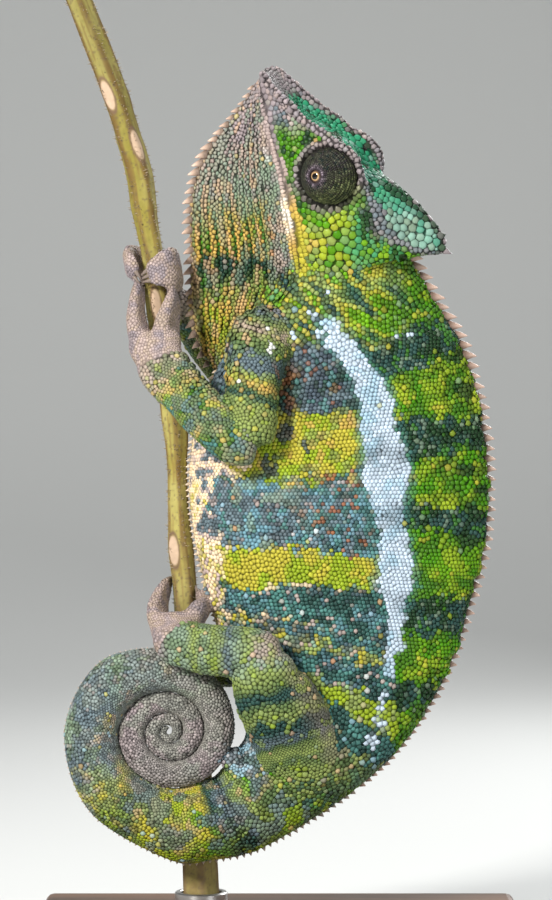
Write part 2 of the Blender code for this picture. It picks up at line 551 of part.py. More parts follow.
RIGHT_FOOT = {
    "palm": [(-20.8, 13.2, 71.0, 5.2, 3.8), (-22.0, 11.4, 72.8, 6.0, 3.9),
             (-22.6, 9.8, 75.2, 5.6, 3.3)],
    "outer": [(-24.4, 10.8, 72.8, 3.6, 3.3), (-27.2, 8.4, 74.6, 3.0, 3.0), (-27.8, 5.2, 76.0, 2.6, 2.6),
              (-26.6, 2.4, 77.2, 2.1, 2.2), (-25.4, 1.2, 77.8, 1.4, 1.5)],
    "inner": [(-20.0, 10.8, 73.0, 3.4, 3.2), (-17.2, 8.4, 74.8, 2.9, 2.9), (-16.4, 5.2, 76.2, 2.5, 2.6),
              (-17.4, 2.4, 77.4, 2.1, 2.2), (-18.6, 1.2, 78.0, 1.4, 1.5)],
}
CLAW_LENGTH, CLAW_RADIUS, CLAW_SPACING = 2.3, 0.75, 1.5


def claws(bundle, number, upright):
    """Small claws past the end of a bundle of toes, side by side."""
    end, before = np.array(bundle[-1]), np.array(bundle[-2])
    heading = unit(end[:3] - before[:3])
    flat = unit(np.cross(heading, [0.0, 1.0, 0.0]))
    across = np.cross(heading, flat)
    made = []
    for n in range(number):
        shift = (n - (number - 1) / 2) * CLAW_SPACING
        aside = flat * 1.1 + across * 0.2 if upright else flat * 0.55 + across
        root = end[:3] + aside * shift - heading * 0.9
        tip = root + heading * (CLAW_LENGTH + 0.9)
        rows = [(*root, CLAW_RADIUS, CLAW_RADIUS), (*((root + tip) / 2), 0.55, 0.55), (*tip, 0.15, 0.15)]
        made.append(tube("claw", rows, columns=5, steps=1))
    return made


def make_grip(name, parts, toes, upright):
    """A hand or foot: palm, two bundles and their claws, joined in one solid."""
    obj = tube(name, parts["palm"], columns=10, steps=1)
    for bundle, number in zip(("outer", "inner"), toes):
        combine(obj, tube("bundle", parts[bundle], columns=8, steps=1, upright=upright), "UNION")
        for claw in claws(parts[bundle], number, upright):
            combine(obj, claw, "UNION")
    keep_largest(obj)
    paint(obj, HAND_MAUVE, 0.6)
    return obj


def make_limb(name, rows):
    obj = tube(name, rows, columns=12, steps=1)
    paint(obj, LIMB_OLIVE, 0.6)
    return obj


# ---- stem and stand --------------------------------------------------------------------------------
# The stem from its cut foot to its cut top: X, Y, Z and radius.
STEM = [(-19.2, 10.0, STEM_FOOT, 4.5), (-19.6, 10.0, 25.0, 4.4), (-20.2, 9.6, 40.0, 4.2),
        (-21.0, 7.9, 58.0, 3.8), (-22.0, 4.4, 74.0, 3.3), (-22.8, 1.6, 88.0, 3.0), (-24.0, 1.4, 100.0, 3.1),
        (-24.6, 1.6, 110.0, 2.6),
        (-24.8, 1.2, 120.0, 2.5), (-25.2, 0.4, 130.0, 3.1), (-27.2, 0.0, 143.0, 2.9),
        (-29.2, 0.3, 156.0, 2.7),
        (-30.6, 0.8, 170.0, 2.7), (-32.5, 1.8, 180.0, 3.0), (-34.0, 3.0, 190.0, 3.4),
        (-36.9, 4.0, 200.0, 3.2),
        (-40.1, 5.0, 210.0, 3.35), (-43.8, 5.8, 220.0, 3.5), (-49.4, 6.6, 234.5, 3.3)]
STEM_SIDES = 12


def make_stem():
    rows = np.array(STEM)
    theta = np.linspace(0, 2 * np.pi, STEM_SIDES, endpoint=False)
    level = np.stack([np.cos(theta), np.sin(theta), 0 * theta], axis=1)
    obj = loft("perch_stem", rows[:, None, :3] + level[None] * rows[:, 3, None, None])
    paint(obj, STEM_GREEN, 0.7)
    return obj


def make_base():
    """The stand's plate: a block with its upper and upright edges rounded over."""
    width, depth, height = BASE_SIZE
    bm = bmesh.new()
    bmesh.ops.create_cube(bm, size=1.0)
    bmesh.ops.scale(bm, vec=(width * MM, depth * MM, height * MM), verts=bm.verts)
    bmesh.ops.translate(bm, vec=(0, 0, height / 2 * MM), verts=bm.verts)
    floor = [e for e in bm.edges if all(v.co.z < 0.0001 for v in e.verts)]
    rounded = [e for e in bm.edges if e not in floor]
    bmesh.ops.bevel(bm, geom=rounded, offset=BASE_BEVEL * MM, segments=3, profile=0.5, affect="EDGES")
    bmesh.ops.triangulate(bm, faces=bm.faces)
    mesh = bpy.data.meshes.new("stand_base")
    bm.to_mesh(mesh)
    bm.free()
    obj = bpy.data.objects.new("stand_base", mesh)
    bpy.context.scene.collection.objects.link(obj)
    paint(obj, BASE_BROWN, 0.4)
    return obj


def make_rod():
    """A short turned post whose cup takes the foot of the stem."""
    x, y = STEM[0][:2]
    bore = STEM[0][3] + GAP + 0.25
    profile = [(ROD_RADIUS + 2.4, BASE_SIZE[2] + GAP), (ROD_RADIUS + 1.6, 10.6), (ROD_RADIUS, 11.0),
               (CUP_RADIUS - 0.8, 12.2), (CUP_RADIUS, 13.2), (CUP_RADIUS, CUP_TOP), (bore, CUP_TOP),
               (bore, CUP_FLOOR + 0.6), (bore - 0.8, CUP_FLOOR + 0.2)]
    theta = np.linspace(0, 2 * np.pi, 16, endpoint=False)
    rings = [np.stack([x + r * np.cos(theta), y + r * np.sin(theta), 0 * theta + z], axis=1)
             for r, z in profile]
    obj = loft("stand_rod", np.array(rings))
    paint(obj, ROD_GREY, 0.3, 1.0)
    return obj


# ---- put together ----------------------------------------------------------------------------------
neck, trunk, tail_base, tail_outer, tail_middle, tail_tip = make_body()
head = make_head()
lower_jaw, throat_pouch = make_throat()
eyes = [make_eye(1, "eye_left"), make_eye(-1, "eye_right")]
stem = make_stem()
make_base()
make_rod()

fit(head, eyes)
fit(neck, [head, lower_jaw, throat_pouch])
fit(trunk, [throat_pouch, stem])

grips = {"hand": [], "foot": []}        # those already made, which the next one stays clear of
for side in ("left", "right"):
    arm = (LEFT_ARM_UPPER, LEFT_ARM_LOWER, LEFT_HAND) if side == "left" else (
        RIGHT_ARM_UPPER, RIGHT_ARM_LOWER, RIGHT_HAND)
    leg = (LEFT_LEG_UPPER, LEFT_LEG_LOWER, LEFT_FOOT) if side == "left" else (
        RIGHT_LEG_UPPER, RIGHT_LEG_LOWER, RIGHT_FOOT)
    for limb, grip, toes, rows in (("arm", "hand", (2, 3), arm), ("leg", "foot", (3, 2), leg)):
        upper, lower, end = rows
        beside = throat_pouch if limb == "arm" else trunk
        shank = make_limb(f"{limb}_{side}_lower", lower)
        wraps = (limb, side) == ("arm", "right")
        holder = make_grip(f"{grip}_{side}", end, toes, wraps)
        fit(holder, [shank, stem, beside] + grips[grip])
        grips[grip].append(holder)
        fit(make_limb(f"{limb}_{side}_upper", upper), [shank, trunk, neck, throat_pouch, tail_base])
        fit(shank, [beside])
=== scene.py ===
# %% [markdown]
# # A panther chameleon climbing a stem
#
# The solids of the animal, its perch and its stand come packed from the construction script. Here
# they get their looks: one unbroken skin over all the flesh, thousands of separate scales on it,
# spines, claws, eyes, a ridged stem with leaf scars, and the finish of the stand. Loading the frame
# first means every new piece is made in the same place and size as the solids.

# %% Load the frame
import math

import bpy
import numpy as np
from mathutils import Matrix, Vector
from mathutils.bvhtree import BVHTree
from mathutils.kdtree import KDTree


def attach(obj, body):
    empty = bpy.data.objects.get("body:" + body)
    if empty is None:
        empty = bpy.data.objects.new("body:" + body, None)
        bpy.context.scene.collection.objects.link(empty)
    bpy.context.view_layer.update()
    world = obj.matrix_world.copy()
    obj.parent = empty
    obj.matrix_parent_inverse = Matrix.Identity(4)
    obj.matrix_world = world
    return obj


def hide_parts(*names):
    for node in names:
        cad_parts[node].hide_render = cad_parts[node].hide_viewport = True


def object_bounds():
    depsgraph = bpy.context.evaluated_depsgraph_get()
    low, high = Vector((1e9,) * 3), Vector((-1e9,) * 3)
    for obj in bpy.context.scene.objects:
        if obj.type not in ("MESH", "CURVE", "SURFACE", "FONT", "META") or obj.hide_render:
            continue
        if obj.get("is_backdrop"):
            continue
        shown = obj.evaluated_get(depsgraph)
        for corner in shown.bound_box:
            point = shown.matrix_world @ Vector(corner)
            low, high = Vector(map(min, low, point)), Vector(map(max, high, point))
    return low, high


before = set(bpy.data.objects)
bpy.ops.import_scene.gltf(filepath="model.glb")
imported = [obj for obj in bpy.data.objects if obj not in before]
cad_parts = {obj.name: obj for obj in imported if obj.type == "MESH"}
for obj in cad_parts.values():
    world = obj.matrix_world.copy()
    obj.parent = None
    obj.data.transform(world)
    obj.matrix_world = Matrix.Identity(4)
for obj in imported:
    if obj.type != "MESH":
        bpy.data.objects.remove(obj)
CAD_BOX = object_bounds()
MM = 0.001                      # the tables below are in millimetres
print("nodes:", len(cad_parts), "box:", CAD_BOX)

# %% [markdown]
# ## Camera, light and floor
#
# The camera looks level along +Y at the animal's left side. A long lens from 0.7 m keeps the
# proportions flat, as in a portrait of a small animal. Big soft lamps stand in for a studio, and
# one sheet that curves up behind the model is both floor and backdrop, so no horizon shows.

# %% Camera and light
scene = bpy.context.scene
CAMERA_DISTANCE = 0.700
VIEW_HEIGHT = 0.216
SENSOR = 36.0

camera_data = bpy.data.cameras.new("camera")
camera_data.sensor_width = SENSOR
camera_data.lens = SENSOR * CAMERA_DISTANCE / VIEW_HEIGHT
camera = bpy.data.objects.new("camera", camera_data)
camera.location = (-0.0010, -CAMERA_DISTANCE, 0.1236)
camera.rotation_euler = (math.radians(90.0), 0.0, 0.0)
scene.collection.objects.link(camera)
scene.camera = camera


def lamp(name, place, aim, size, power, tint=(1.0, 1.0, 1.0)):
    """A square soft lamp at one place, turned toward another."""
    data = bpy.data.lights.new(name, "AREA")
    data.size = size
    data.energy = power
    data.color = tint
    obj = bpy.data.objects.new(name, data)
    obj.location = place
    obj.rotation_euler = (Vector(aim) - Vector(place)).to_track_quat("-Z", "Y").to_euler()
    scene.collection.objects.link(obj)


lamp("key", (-0.46, -0.70, 0.50), (0.0, 0.0, 0.12), 0.16, 12.6, (1.0, 0.98, 0.95))
lamp("fill", (0.55, -0.60, 0.20), (0.0, 0.0, 0.12), 0.30, 2.0, (0.95, 0.98, 1.0))
lamp("top", (0.05, 0.10, 0.75), (0.0, 0.0, 0.12), 0.30, 3.0)
lamp("back", (0.30, 0.55, 0.40), (0.0, 0.0, 0.12), 0.30, 2.5)

world = bpy.data.worlds.new("studio")
world.use_nodes = True
world.node_tree.nodes["Background"].inputs["Color"].default_value = (0.80, 0.83, 0.86, 1.0)
world.node_tree.nodes["Background"].inputs["Strength"].default_value = 0.22
scene.world = world
scene.view_settings.view_transform = "Standard"

# %% [markdown]
# ## Small tools
#
# A surface below is always worked out with numpy as whole arrays. These helpers draw a smooth
# curve through the rows of a table, measure directions, and make a repeatable random pattern
# (value noise: random numbers on a cubic grid, blended smoothly in between). A seed fixes each
# pattern, so the model is the same every time.

# %% Tools for numbers
def unit(v):
    """Vectors scaled to length one."""
    return v / np.maximum(np.linalg.norm(v, axis=-1, keepdims=True), 1e-12)


def blended(a, b, c, d, t):
    """Catmull-Rom: the cubic from b to c with slopes (c - a) / 2 at its start and (d - b) / 2 at its end."""
    return 0.5 * (2 * b + (c - a) * t + (2 * a - 5 * b + 4 * c - d) * t ** 2
                  + (3 * b - a - 3 * c + d) * t ** 3)


def curve(rows, where):
    """Smooth curve through the rows of a table, at places counted in rows."""
    rows = np.asarray(rows, float)
    if rows.ndim == 1:
        return curve(rows[:, None], where)[..., 0]
    where = np.clip(np.asarray(where, float), 0.0, len(rows) - 1.0)
    first = np.minimum(where.astype(int), len(rows) - 2)
    padded = np.vstack([2 * rows[0] - rows[1], rows, 2 * rows[-1] - rows[-2]])
    return blended(*(padded[first + k] for k in range(4)), (where - first)[..., None])


def step(low, high, x):
    """Smooth step: 0 below low, 1 above high, and 3t^2 - 2t^3 between."""
    t = np.clip((x - low) / (high - low), 0.0, 1.0)
    return t * t * (3 - 2 * t)


def band(x, low, high, soft=0.8):
    """1 between low and high, fading over `soft` on both sides."""
    return step(low - soft, low + soft, x) * (1 - step(high - soft, high + soft, x))


def bump(x, centre, width):
    """Bell curve: exp(-((x - centre) / width)^2)."""
    return np.exp(-((x - centre) / width) ** 2)


def chance(cells, seed):
    """One repeatable random number from 0 to 1 for each row of whole numbers."""
    mixed = np.asarray(cells).astype(np.int64) @ np.array([73856093, 19349663, 83492791])
    mixed = (mixed + seed * 2654435761) & 0xFFFFFFFF
    mixed = ((mixed ^ (mixed >> 16)) * 0x45D9F3B) & 0xFFFFFFFF
    mixed = ((mixed ^ (mixed >> 16)) * 0x45D9F3B) & 0xFFFFFFFF
    return ((mixed ^ (mixed >> 16)) & 0xFFFFFF) / float(0xFFFFFF)


def noise(points, size, seed=0):
    """Value noise from 0 to 1, with blobs about `size` across."""
    scaled = points / size
    low = np.floor(scaled).astype(np.int64)
    t = scaled - low
    t = t * t * (3 - 2 * t)
    total = np.zeros(len(points))
    for corner in np.ndindex(2, 2, 2):
        weight = np.prod(np.where(corner, t, 1 - t), axis=1)
        total += weight * chance(low + corner, seed)
    return total


def spun(one, two, angle):
    """Directions at an angle in the plane of two others: one cos + two sin."""
    return one * np.cos(angle)[..., None] + two * np.sin(angle)[..., None]


def circle(angle):
    """Points of a circle of radius one."""
    return np.stack([np.cos(angle), np.sin(angle)], axis=-1)


def mix(base, colour, mask):
    """Lay a colour over another where the mask is 1."""
    mask = np.asarray(mask)[..., None]
    return base * (1 - mask) + np.asarray(colour) * mask


# %% [markdown]
# Every surface function here takes two equal arrays, `along` from 0 to 1 and `around` from 0 to 1,
# and gives points. A closed mesh is that function on a grid, with a fan of triangles over each
# end. The same function, asked for other places, also says where scales sit.

# %% Tools for meshes
def store(name, points, faces, colours=None, patches=None, smooth=True):
    """Make a mesh object from points in millimetres, with optional paint and bake map."""
    mesh = bpy.data.meshes.new(name)
    faces = np.asarray(faces)
    mesh.vertices.add(len(points))
    mesh.vertices.foreach_set("co", (np.asarray(points) * MM).ravel())
    corners = faces.shape[1]
    mesh.loops.add(faces.size)
    mesh.loops.foreach_set("vertex_index", faces.ravel().astype(np.int32))
    mesh.polygons.add(len(faces))
    mesh.polygons.foreach_set("loop_start", np.arange(0, faces.size, corners, dtype=np.int32))
    mesh.update(calc_edges=True)
    mesh.validate()
    mesh.polygons.foreach_set("use_smooth", np.full(len(mesh.polygons), smooth))
    if colours is not None:
        layer = mesh.color_attributes.new("Paint", "FLOAT_COLOR", "POINT")
        rgba = np.ones((len(points), 4))
        rgba[:, :3] = colours
        layer.data.foreach_set("color", rgba.ravel())
    if patches is not None:
        layer = mesh.uv_layers.new(name="OFBake")
        layer.data.foreach_set("uv", patches[faces.ravel()].ravel())
    obj = bpy.data.objects.new(name, mesh)
    scene.collection.objects.link(obj)
    return obj


def closed_grid(surface, rows, columns):
    """Points and triangles of a tube-like surface with both ends closed by a fan."""
    along, around = np.meshgrid(np.linspace(0, 1, rows), np.arange(columns) / columns, indexing="ij")
    points = surface(along.ravel(), around.ravel())
    at = np.arange(rows * columns).reshape(rows, columns)
    right = np.roll(at, -1, axis=1)
    quads = np.stack([at[:-1], right[:-1], right[1:], at[1:]], axis=-1).reshape(-1, 4)
    tris = np.vstack([quads[:, [0, 1, 2]], quads[:, [0, 2, 3]]])
    grid = points.reshape(rows, columns, 3)
    hubs = np.array([grid[0].mean(axis=0), grid[-1].mean(axis=0)])
    first = np.stack([right[0], at[0], np.full(columns, len(points))], axis=1)
    last = np.stack([at[-1], right[-1], np.full(columns, len(points) + 1)], axis=1)
    return outward(np.vstack([points, hubs]), np.vstack([tris, first, last]))


def outward(points, tris):
    """Turn the triangles of a closed mesh so that its volume counts as positive."""
    a, b, c = (points[tris[:, k]] for k in range(3))
    volume = np.einsum("ij,ij->i", a, np.cross(b, c)).sum()
    return points, tris if volume > 0 else tris[:, ::-1]


# %% [markdown]
# ## Body, as one long surface
#
# Neck, trunk and tail are one tube whose cross-section has a keeled back and belly. A table gives
# the back edge, the belly edge and the half-width every centimetre or so; the tail's coil follows
# from a list of radii, one for each eighth of a turn. These are the sizes of the solids.

# %% Body surface
BODY = [
    (28.0, -4.2, 174.0, 2.0, 1.8, 174.0, 8.6),
    (32.2, -3.6, 168.0, 0.0, 1.5, 167.0, 9.6),
    (34.6, -2.8, 164.4, -3.5, 1.2, 161.4, 10.0),
    (37.2, -1.8, 159.6, -7.0, 0.8, 156.0, 10.6),
    (40.6, -0.9, 154.4, -11.0, 0.4, 150.0, 11.3),
    (43.7, -0.3, 149.3, -15.4, 0.1, 143.0, 12.3),
    (45.8, 0.0, 143.0, -18.6, 0.0, 135.6, 13.2),
    (48.2, 0.0, 134.0, -21.0, 0.0, 127.5, 14.0),
    (49.7, 0.0, 124.0, -21.9, 0.0, 119.5, 14.5),
    (50.3, 0.0, 114.0, -22.0, 0.0, 113.0, 14.5),
    (49.9, 0.0, 104.0, -21.2, 0.0, 106.0, 14.2),
    (48.2, 0.0, 95.0, -20.0, 0.0, 98.4, 13.6),
    (46.0, 0.0, 87.0, -18.0, 0.0, 90.2, 13.0),
    (43.7, 0.0, 78.7, -15.6, 0.0, 82.0, 12.2),
    (40.5, 0.0, 70.7, -13.2, 0.0, 74.0, 11.4),
    (36.5, 0.0, 62.8, -10.8, 0.0, 66.0, 10.7),
    (31.7, 0.0, 55.7, -8.8, 0.0, 59.4, 10.1),
    (25.9, 0.0, 48.8, -8.4, 0.0, 54.8, 9.6),
    (19.0, -0.2, 42.7, -10.6, -0.1, 51.6, 9.4),
    (11.4, -0.6, 37.2, -12.2, -0.5, 49.0, 8.9),
    (2.5, -1.4, 31.8, -13.6, -1.3, 47.9, 8.5),
    (-6.5, -2.4, 27.3, -15.8, -2.4, 45.8, 8.2),
    (-16.6, -3.5, 25.5, -20.4, -3.5, 44.2, 7.9),
]
TAIL_CENTRE = (-26.5, 56.7)
COIL_RADII = np.array([30.8, 26.9, 24.8, 23.2, 19.4, 16.7, 15.6, 14.4, 13.4, 12.6, 12.0, 10.6, 9.4, 8.8,
                       8.4, 7.8, 7.1, 6.4, 5.7, 5.0, 4.3, 3.8, 3.3, 3.1, 2.9, 2.6, 2.1, 1.7, 1.3])
COIL_GAP = 0.02
COIL_LEAN = (-4.6, -5.6)
TIP_THICKNESS = (3.1, 1.2)
COIL_STEPS = len(COIL_RADII) - 1


def coil_rows():
    """Back edge, belly edge and half-width at each eighth of a turn of the coiled tail."""
    eighths = np.arange(COIL_STEPS + 1.0)
    inner_turn = COIL_STEPS - 8
    part = np.clip((eighths - inner_turn) / 8.0, 0, 1)
    tip = COIL_RADII - TIP_THICKNESS[0] * (1 - part) - TIP_THICKNESS[1] * part
    inner = np.where(eighths <= inner_turn, curve(COIL_RADII, eighths + 8) + COIL_GAP, tip)
    inner = np.maximum(inner, 0.35)
    turn = eighths * math.radians(45.0)
    heading = np.stack([-np.sin(turn), 0 * turn, -np.cos(turn)], axis=1)
    lean = COIL_LEAN[0] + (COIL_LEAN[1] - COIL_LEAN[0]) * np.minimum(eighths / 3.0, 1.0)
    centre = np.stack([TAIL_CENTRE[0] + 0 * lean, lean, TAIL_CENTRE[1] + 0 * lean], axis=1)
    half = 0.40 * (COIL_RADII - inner) + 0.5
    return np.column_stack([centre + heading * COIL_RADII[:, None], centre + heading * inner[:, None], half])


BODY_ROWS = np.vstack([np.array(BODY), coil_rows()])
FIRST_ROW, LAST_ROW = 0.4, len(BODY_ROWS) - 1.0


def body_at(row, around):
    """Body surface: from the middle, up by cos and out by a keeled width, both of the angle."""
    rows = curve(BODY_ROWS, row)
    back, belly, half = rows[:, :3], rows[:, 3:6], rows[:, 6]
    angle = around * 2 * math.pi
    up = np.cos(angle)
    shifted = up + 0.14 * (1 - up * up)
    side = np.sign(np.sin(angle)) * np.power(np.maximum(1 - np.abs(shifted) ** 2.3, 0.0), 0.60)
    axis = unit(back - belly)
    left = np.array([0.0, -1.0, 0.0])
    left = unit(left - axis * (axis @ left)[:, None])
    reach = np.linalg.norm(back - belly, axis=1) / 2
    tip = np.sqrt(np.clip((LAST_ROW - row) / 0.7, 0.02, 1.0))
    middle = (back + belly) / 2
    return middle + axis * (reach * up * tip)[:, None] + left * (half * side * tip)[:, None]


def body_surface(first, last):
    """The stretch of the body between two rows, as a surface of (along, around)."""
    return lambda along, around: body_at(first + (last - first) * along, around)


def body_row(along):
    """Table row, counted in fractions, at a distance of 0 to 1 along the whole body."""
    return FIRST_ROW + (LAST_ROW - FIRST_ROW) * along


WHOLE_BODY = body_surface(FIRST_ROW, LAST_ROW)
print("body rows:", len(BODY_ROWS), "coil starts at row", len(BODY))

# %% [markdown]
# ## Head
#
# A panther chameleon's head is a wedge with two rough crests that run from the snout over the eyes
# and sweep back to a low casque. Naming those lines and giving each as a short run of points (along
# the head, up, and out from the middle) keeps the shape readable: the surface is drawn through the
# lines. The head is rolled and turned a little toward the viewer's side, so one function carries
# points from the head's own frame to the model, and another carries them back for the markings.

# %% Head frame
JAW_JOINT = np.array([4.0, 0.0, 168.0])
SNOUTWARD = np.array([-0.198, 0.0, 0.980])
CROWNWARD = np.array([0.980, 0.0, 0.198])
HEAD_ROLL = math.radians(19.0)
THROAT_ROLL = math.radians(12.0)        # the soft throat hangs straighter than the skull
HEAD_TURN = math.radians(12.0)
HEAD_PIVOT = (-4.0, 10.0)
NECK_SOFTNESS = 8.0


def turned(reach):
    """How far the head's turn has carried it sideways: it dies away behind the pivot."""
    return (reach + np.sqrt(reach ** 2 + NECK_SOFTNESS ** 2) - NECK_SOFTNESS) / 2 * math.sin(HEAD_TURN)


def roll_at(height):
    """The skull's roll; it dies away down the soft throat."""
    share = np.clip((height + 30.0) / 22.0, 0.0, 1.0)
    return THROAT_ROLL + (HEAD_ROLL - THROAT_ROLL) * share ** 2 * (3 - 2 * share)


def head_place(along, up, out):
    """Model place of points in the head's frame: a roll about its length, then a turn."""
    reach, height = along - HEAD_PIVOT[0], up - HEAD_PIVOT[1]
    roll = roll_at(height)
    sideways = height * np.sin(roll) + out * np.cos(roll)
    seen_up = height * np.cos(roll) - out * np.sin(roll) + HEAD_PIVOT[1]
    seen_along = reach * math.cos(HEAD_TURN) - sideways * math.sin(HEAD_TURN) + HEAD_PIVOT[0]
    place = JAW_JOINT + np.multiply.outer(seen_along, SNOUTWARD) + np.multiply.outer(seen_up, CROWNWARD)
    place[..., 1] -= turned(reach) + sideways * math.cos(HEAD_TURN)
    return place


def head_frame(points):
    """The way back: along, up and out in the head's frame, by a few rounds of substitution."""
    offset = points - JAW_JOINT
    seen_along = offset @ SNOUTWARD - HEAD_PIVOT[0]
    seen_up = offset @ CROWNWARD - HEAD_PIVOT[1]
    reach = seen_along.copy()
    for _ in range(6):
        sideways = (-points[:, 1] - turned(reach)) / math.cos(HEAD_TURN)
        reach = (seen_along + sideways * math.sin(HEAD_TURN)) / math.cos(HEAD_TURN)
    height = seen_up.copy()
    for _ in range(6):
        roll = roll_at(height)
        height = seen_up * np.cos(roll) + sideways * np.sin(roll)
    out = sideways * np.cos(roll) - seen_up * np.sin(roll)
    return reach + HEAD_PIVOT[0], height + HEAD_PIVOT[1], out


# %% The head's lines
CROWN = [(47.7, 1.7, 0), (46.1, 2.9, 0), (42.9, 4.7, 0), (39.8, 7.1, 0), (36.0, 9.7, 0), (31.9, 14.0, 0),
         (28.0, 17.7, 0), (24.2, 20.0, 0), (20.3, 21.7, 0), (16.5, 26.4, 0), (12.7, 29.9, 0),
         (8.6, 33.0, 0), (4.3, 35.4, 0), (-0.1, 37.1, 0), (-3.3, 36.9, 0)]
CROWN_SIDE = [(47.6, 1.8, 1.5), (45.9, 3.0, 2.5), (42.8, 4.8, 3.2), (39.6, 7.2, 4.0), (35.9, 9.8, 4.5),
              (31.7, 14.1, 4.9), (27.9, 17.8, 4.7), (24.0, 20.0, 4.3), (20.1, 21.6, 4.2),
              (16.4, 24.2, 5.0), (12.7, 26.4, 4.8), (8.7, 28.5, 4.6), (4.8, 30.7, 4.0), (0.7, 33.3, 2.4),
              (-2.8, 35.9, 0.9)]
CREST = [(47.4, 1.9, 3.0), (45.8, 3.2, 5.5), (42.6, 5.2, 6.4), (39.5, 7.8, 7.4), (35.7, 10.6, 8.2),
         (31.6, 15.0, 9.0), (27.7, 18.7, 8.7), (23.9, 21.0, 8.2), (20.0, 22.2, 7.7), (16.2, 23.1, 7.9),
         (12.5, 24.0, 8.6), (8.9, 25.1, 8.9), (5.4, 26.1, 7.8), (1.7, 28.0, 5.8), (-2.4, 34.9, 1.6)]
UNDER_CREST = [(47.3, 1.5, 2.9), (45.6, 2.8, 5.0), (42.4, 4.6, 5.6), (39.3, 7.1, 6.5), (35.5, 9.6, 7.3),
               (31.3, 13.6, 8.1), (27.5, 17.1, 8.2), (23.8, 19.3, 8.1), (20.1, 20.5, 8.0),
               (16.3, 21.4, 8.3), (12.6, 22.1, 8.9), (8.9, 23.0, 9.1), (5.4, 23.9, 8.4), (1.8, 25.7, 6.8),
               (-2.2, 31.8, 3.7)]
TEMPLE = [(47.1, 1.0, 3.1), (45.3, 2.2, 4.6), (42.1, 3.9, 5.4), (38.9, 6.0, 6.2), (35.2, 8.2, 7.0),
          (31.0, 11.6, 7.8), (27.3, 15.0, 8.4), (23.7, 17.1, 8.8), (20.1, 18.1, 9.2), (16.5, 18.6, 9.8),
          (12.7, 19.1, 10.2), (9.0, 19.7, 10.4), (5.4, 20.3, 10.2), (1.8, 22.1, 9.4), (-1.9, 26.7, 7.4)]
CHEEK = [(46.8, 0.6, 3.0), (44.9, 1.5, 4.4), (41.5, 2.8, 5.4), (38.3, 4.4, 6.4), (34.5, 5.8, 7.4),
         (30.6, 7.5, 8.4), (27.0, 9.3, 9.2), (23.4, 10.6, 9.9), (20.0, 11.3, 10.5), (16.4, 11.8, 11.2),
         (12.6, 12.1, 11.6), (8.8, 12.3, 11.6), (5.0, 12.7, 11.4), (1.3, 13.4, 10.8), (-2.5, 16.8, 9.8)]
LIP = [(46.3, 0.2, 2.8), (44.5, 0.8, 4.0), (41.3, 1.8, 5.2), (38.1, 2.7, 6.3), (34.3, 3.7, 7.3),
       (30.3, 4.6, 8.2), (26.7, 5.5, 9.0), (23.1, 6.3, 9.7), (19.7, 6.7, 10.3), (16.1, 7.2, 10.9),
       (12.3, 7.5, 11.2), (8.5, 7.5, 11.2), (4.7, 7.7, 11.0), (1.0, 8.0, 10.4), (-3.0, 10.1, 9.4)]
MOUTH = [(45.5, -0.1, 1.8), (44.1, 0.3, 3.0), (40.9, 0.8, 4.4), (37.7, 1.4, 5.5), (33.9, 1.8, 6.4),
         (29.9, 2.3, 7.2), (26.3, 2.8, 7.9), (22.7, 3.2, 8.6), (19.3, 3.5, 9.3), (15.7, 3.8, 9.9),
         (11.9, 4.1, 10.3), (8.1, 4.1, 10.4), (4.3, 3.8, 10.2), (0.5, 3.4, 9.6), (-3.6, 2.8, 8.6)]
THROAT_EDGE = [(44.9, -1.2), (44.1, -2.5), (41.5, -4.6), (38.6, -7.7), (35.1, -11.7), (31.4, -15.9),
               (27.4, -19.2), (23.2, -21.6), (19.0, -23.1), (14.4, -24.2), (9.6, -25.0), (4.4, -26.0),
               (-1.0, -27.2), (-6.6, -28.3), (-12.6, -28.7), (-18.4, -28.0), (-23.2, -25.8)]


# %% Head and throat surfaces
def through_lines(lines):
    """A surface through named lines: a smooth curve along each, then one across them all.

    The left half of the ring is the lines in order; the right half is their mirror, backward.
    """
    left = np.array(lines, float)
    ring = np.concatenate([left, left[-2:0:-1] * np.array([1.0, 1.0, -1.0])])
    count = len(ring)

    def surface(along, around):
        where = along * (ring.shape[1] - 1)
        stations = curve(ring.transpose(1, 0, 2).reshape(ring.shape[1], -1), where)
        stations = stations.reshape(len(along), count, 3)
        place = (around % 1.0) * count
        first = np.minimum(place.astype(int), count - 1)
        t = (place - first)[:, None]
        pick = np.arange(len(along))
        local = blended(*(stations[pick, (first + k) % count] for k in (-1, 0, 1, 2)), t)
        return head_place(local[:, 0], local[:, 1], local[:, 2])

    return surface


def throat_lines():
    """Lines of jaw and throat, from under the mouth down to the pouch's thin edge."""
    edge = np.array(THROAT_EDGE)
    mouth = np.array(MOUTH)
    extra = len(edge) - len(mouth)
    beyond = mouth[-1] + np.outer(np.arange(1, extra + 1), [-6.0, -6.6, -1.6])
    top = np.vstack([mouth, beyond]) - np.array([0.0, 0.35, 0.0])
    keel = np.column_stack([edge, np.zeros(len(edge))])
    lines = [top * np.array([1.0, 1.0, 0.0]), top]
    for share, swell in ((0.16, 1.02), (0.36, 0.74), (0.58, 0.44), (0.80, 0.24), (0.94, 0.12)):
        line = top * (1 - share) + keel * share
        line[:, 2] = top[:, 2] * swell + 0.25
        lines.append(line)
    return lines + [keel]


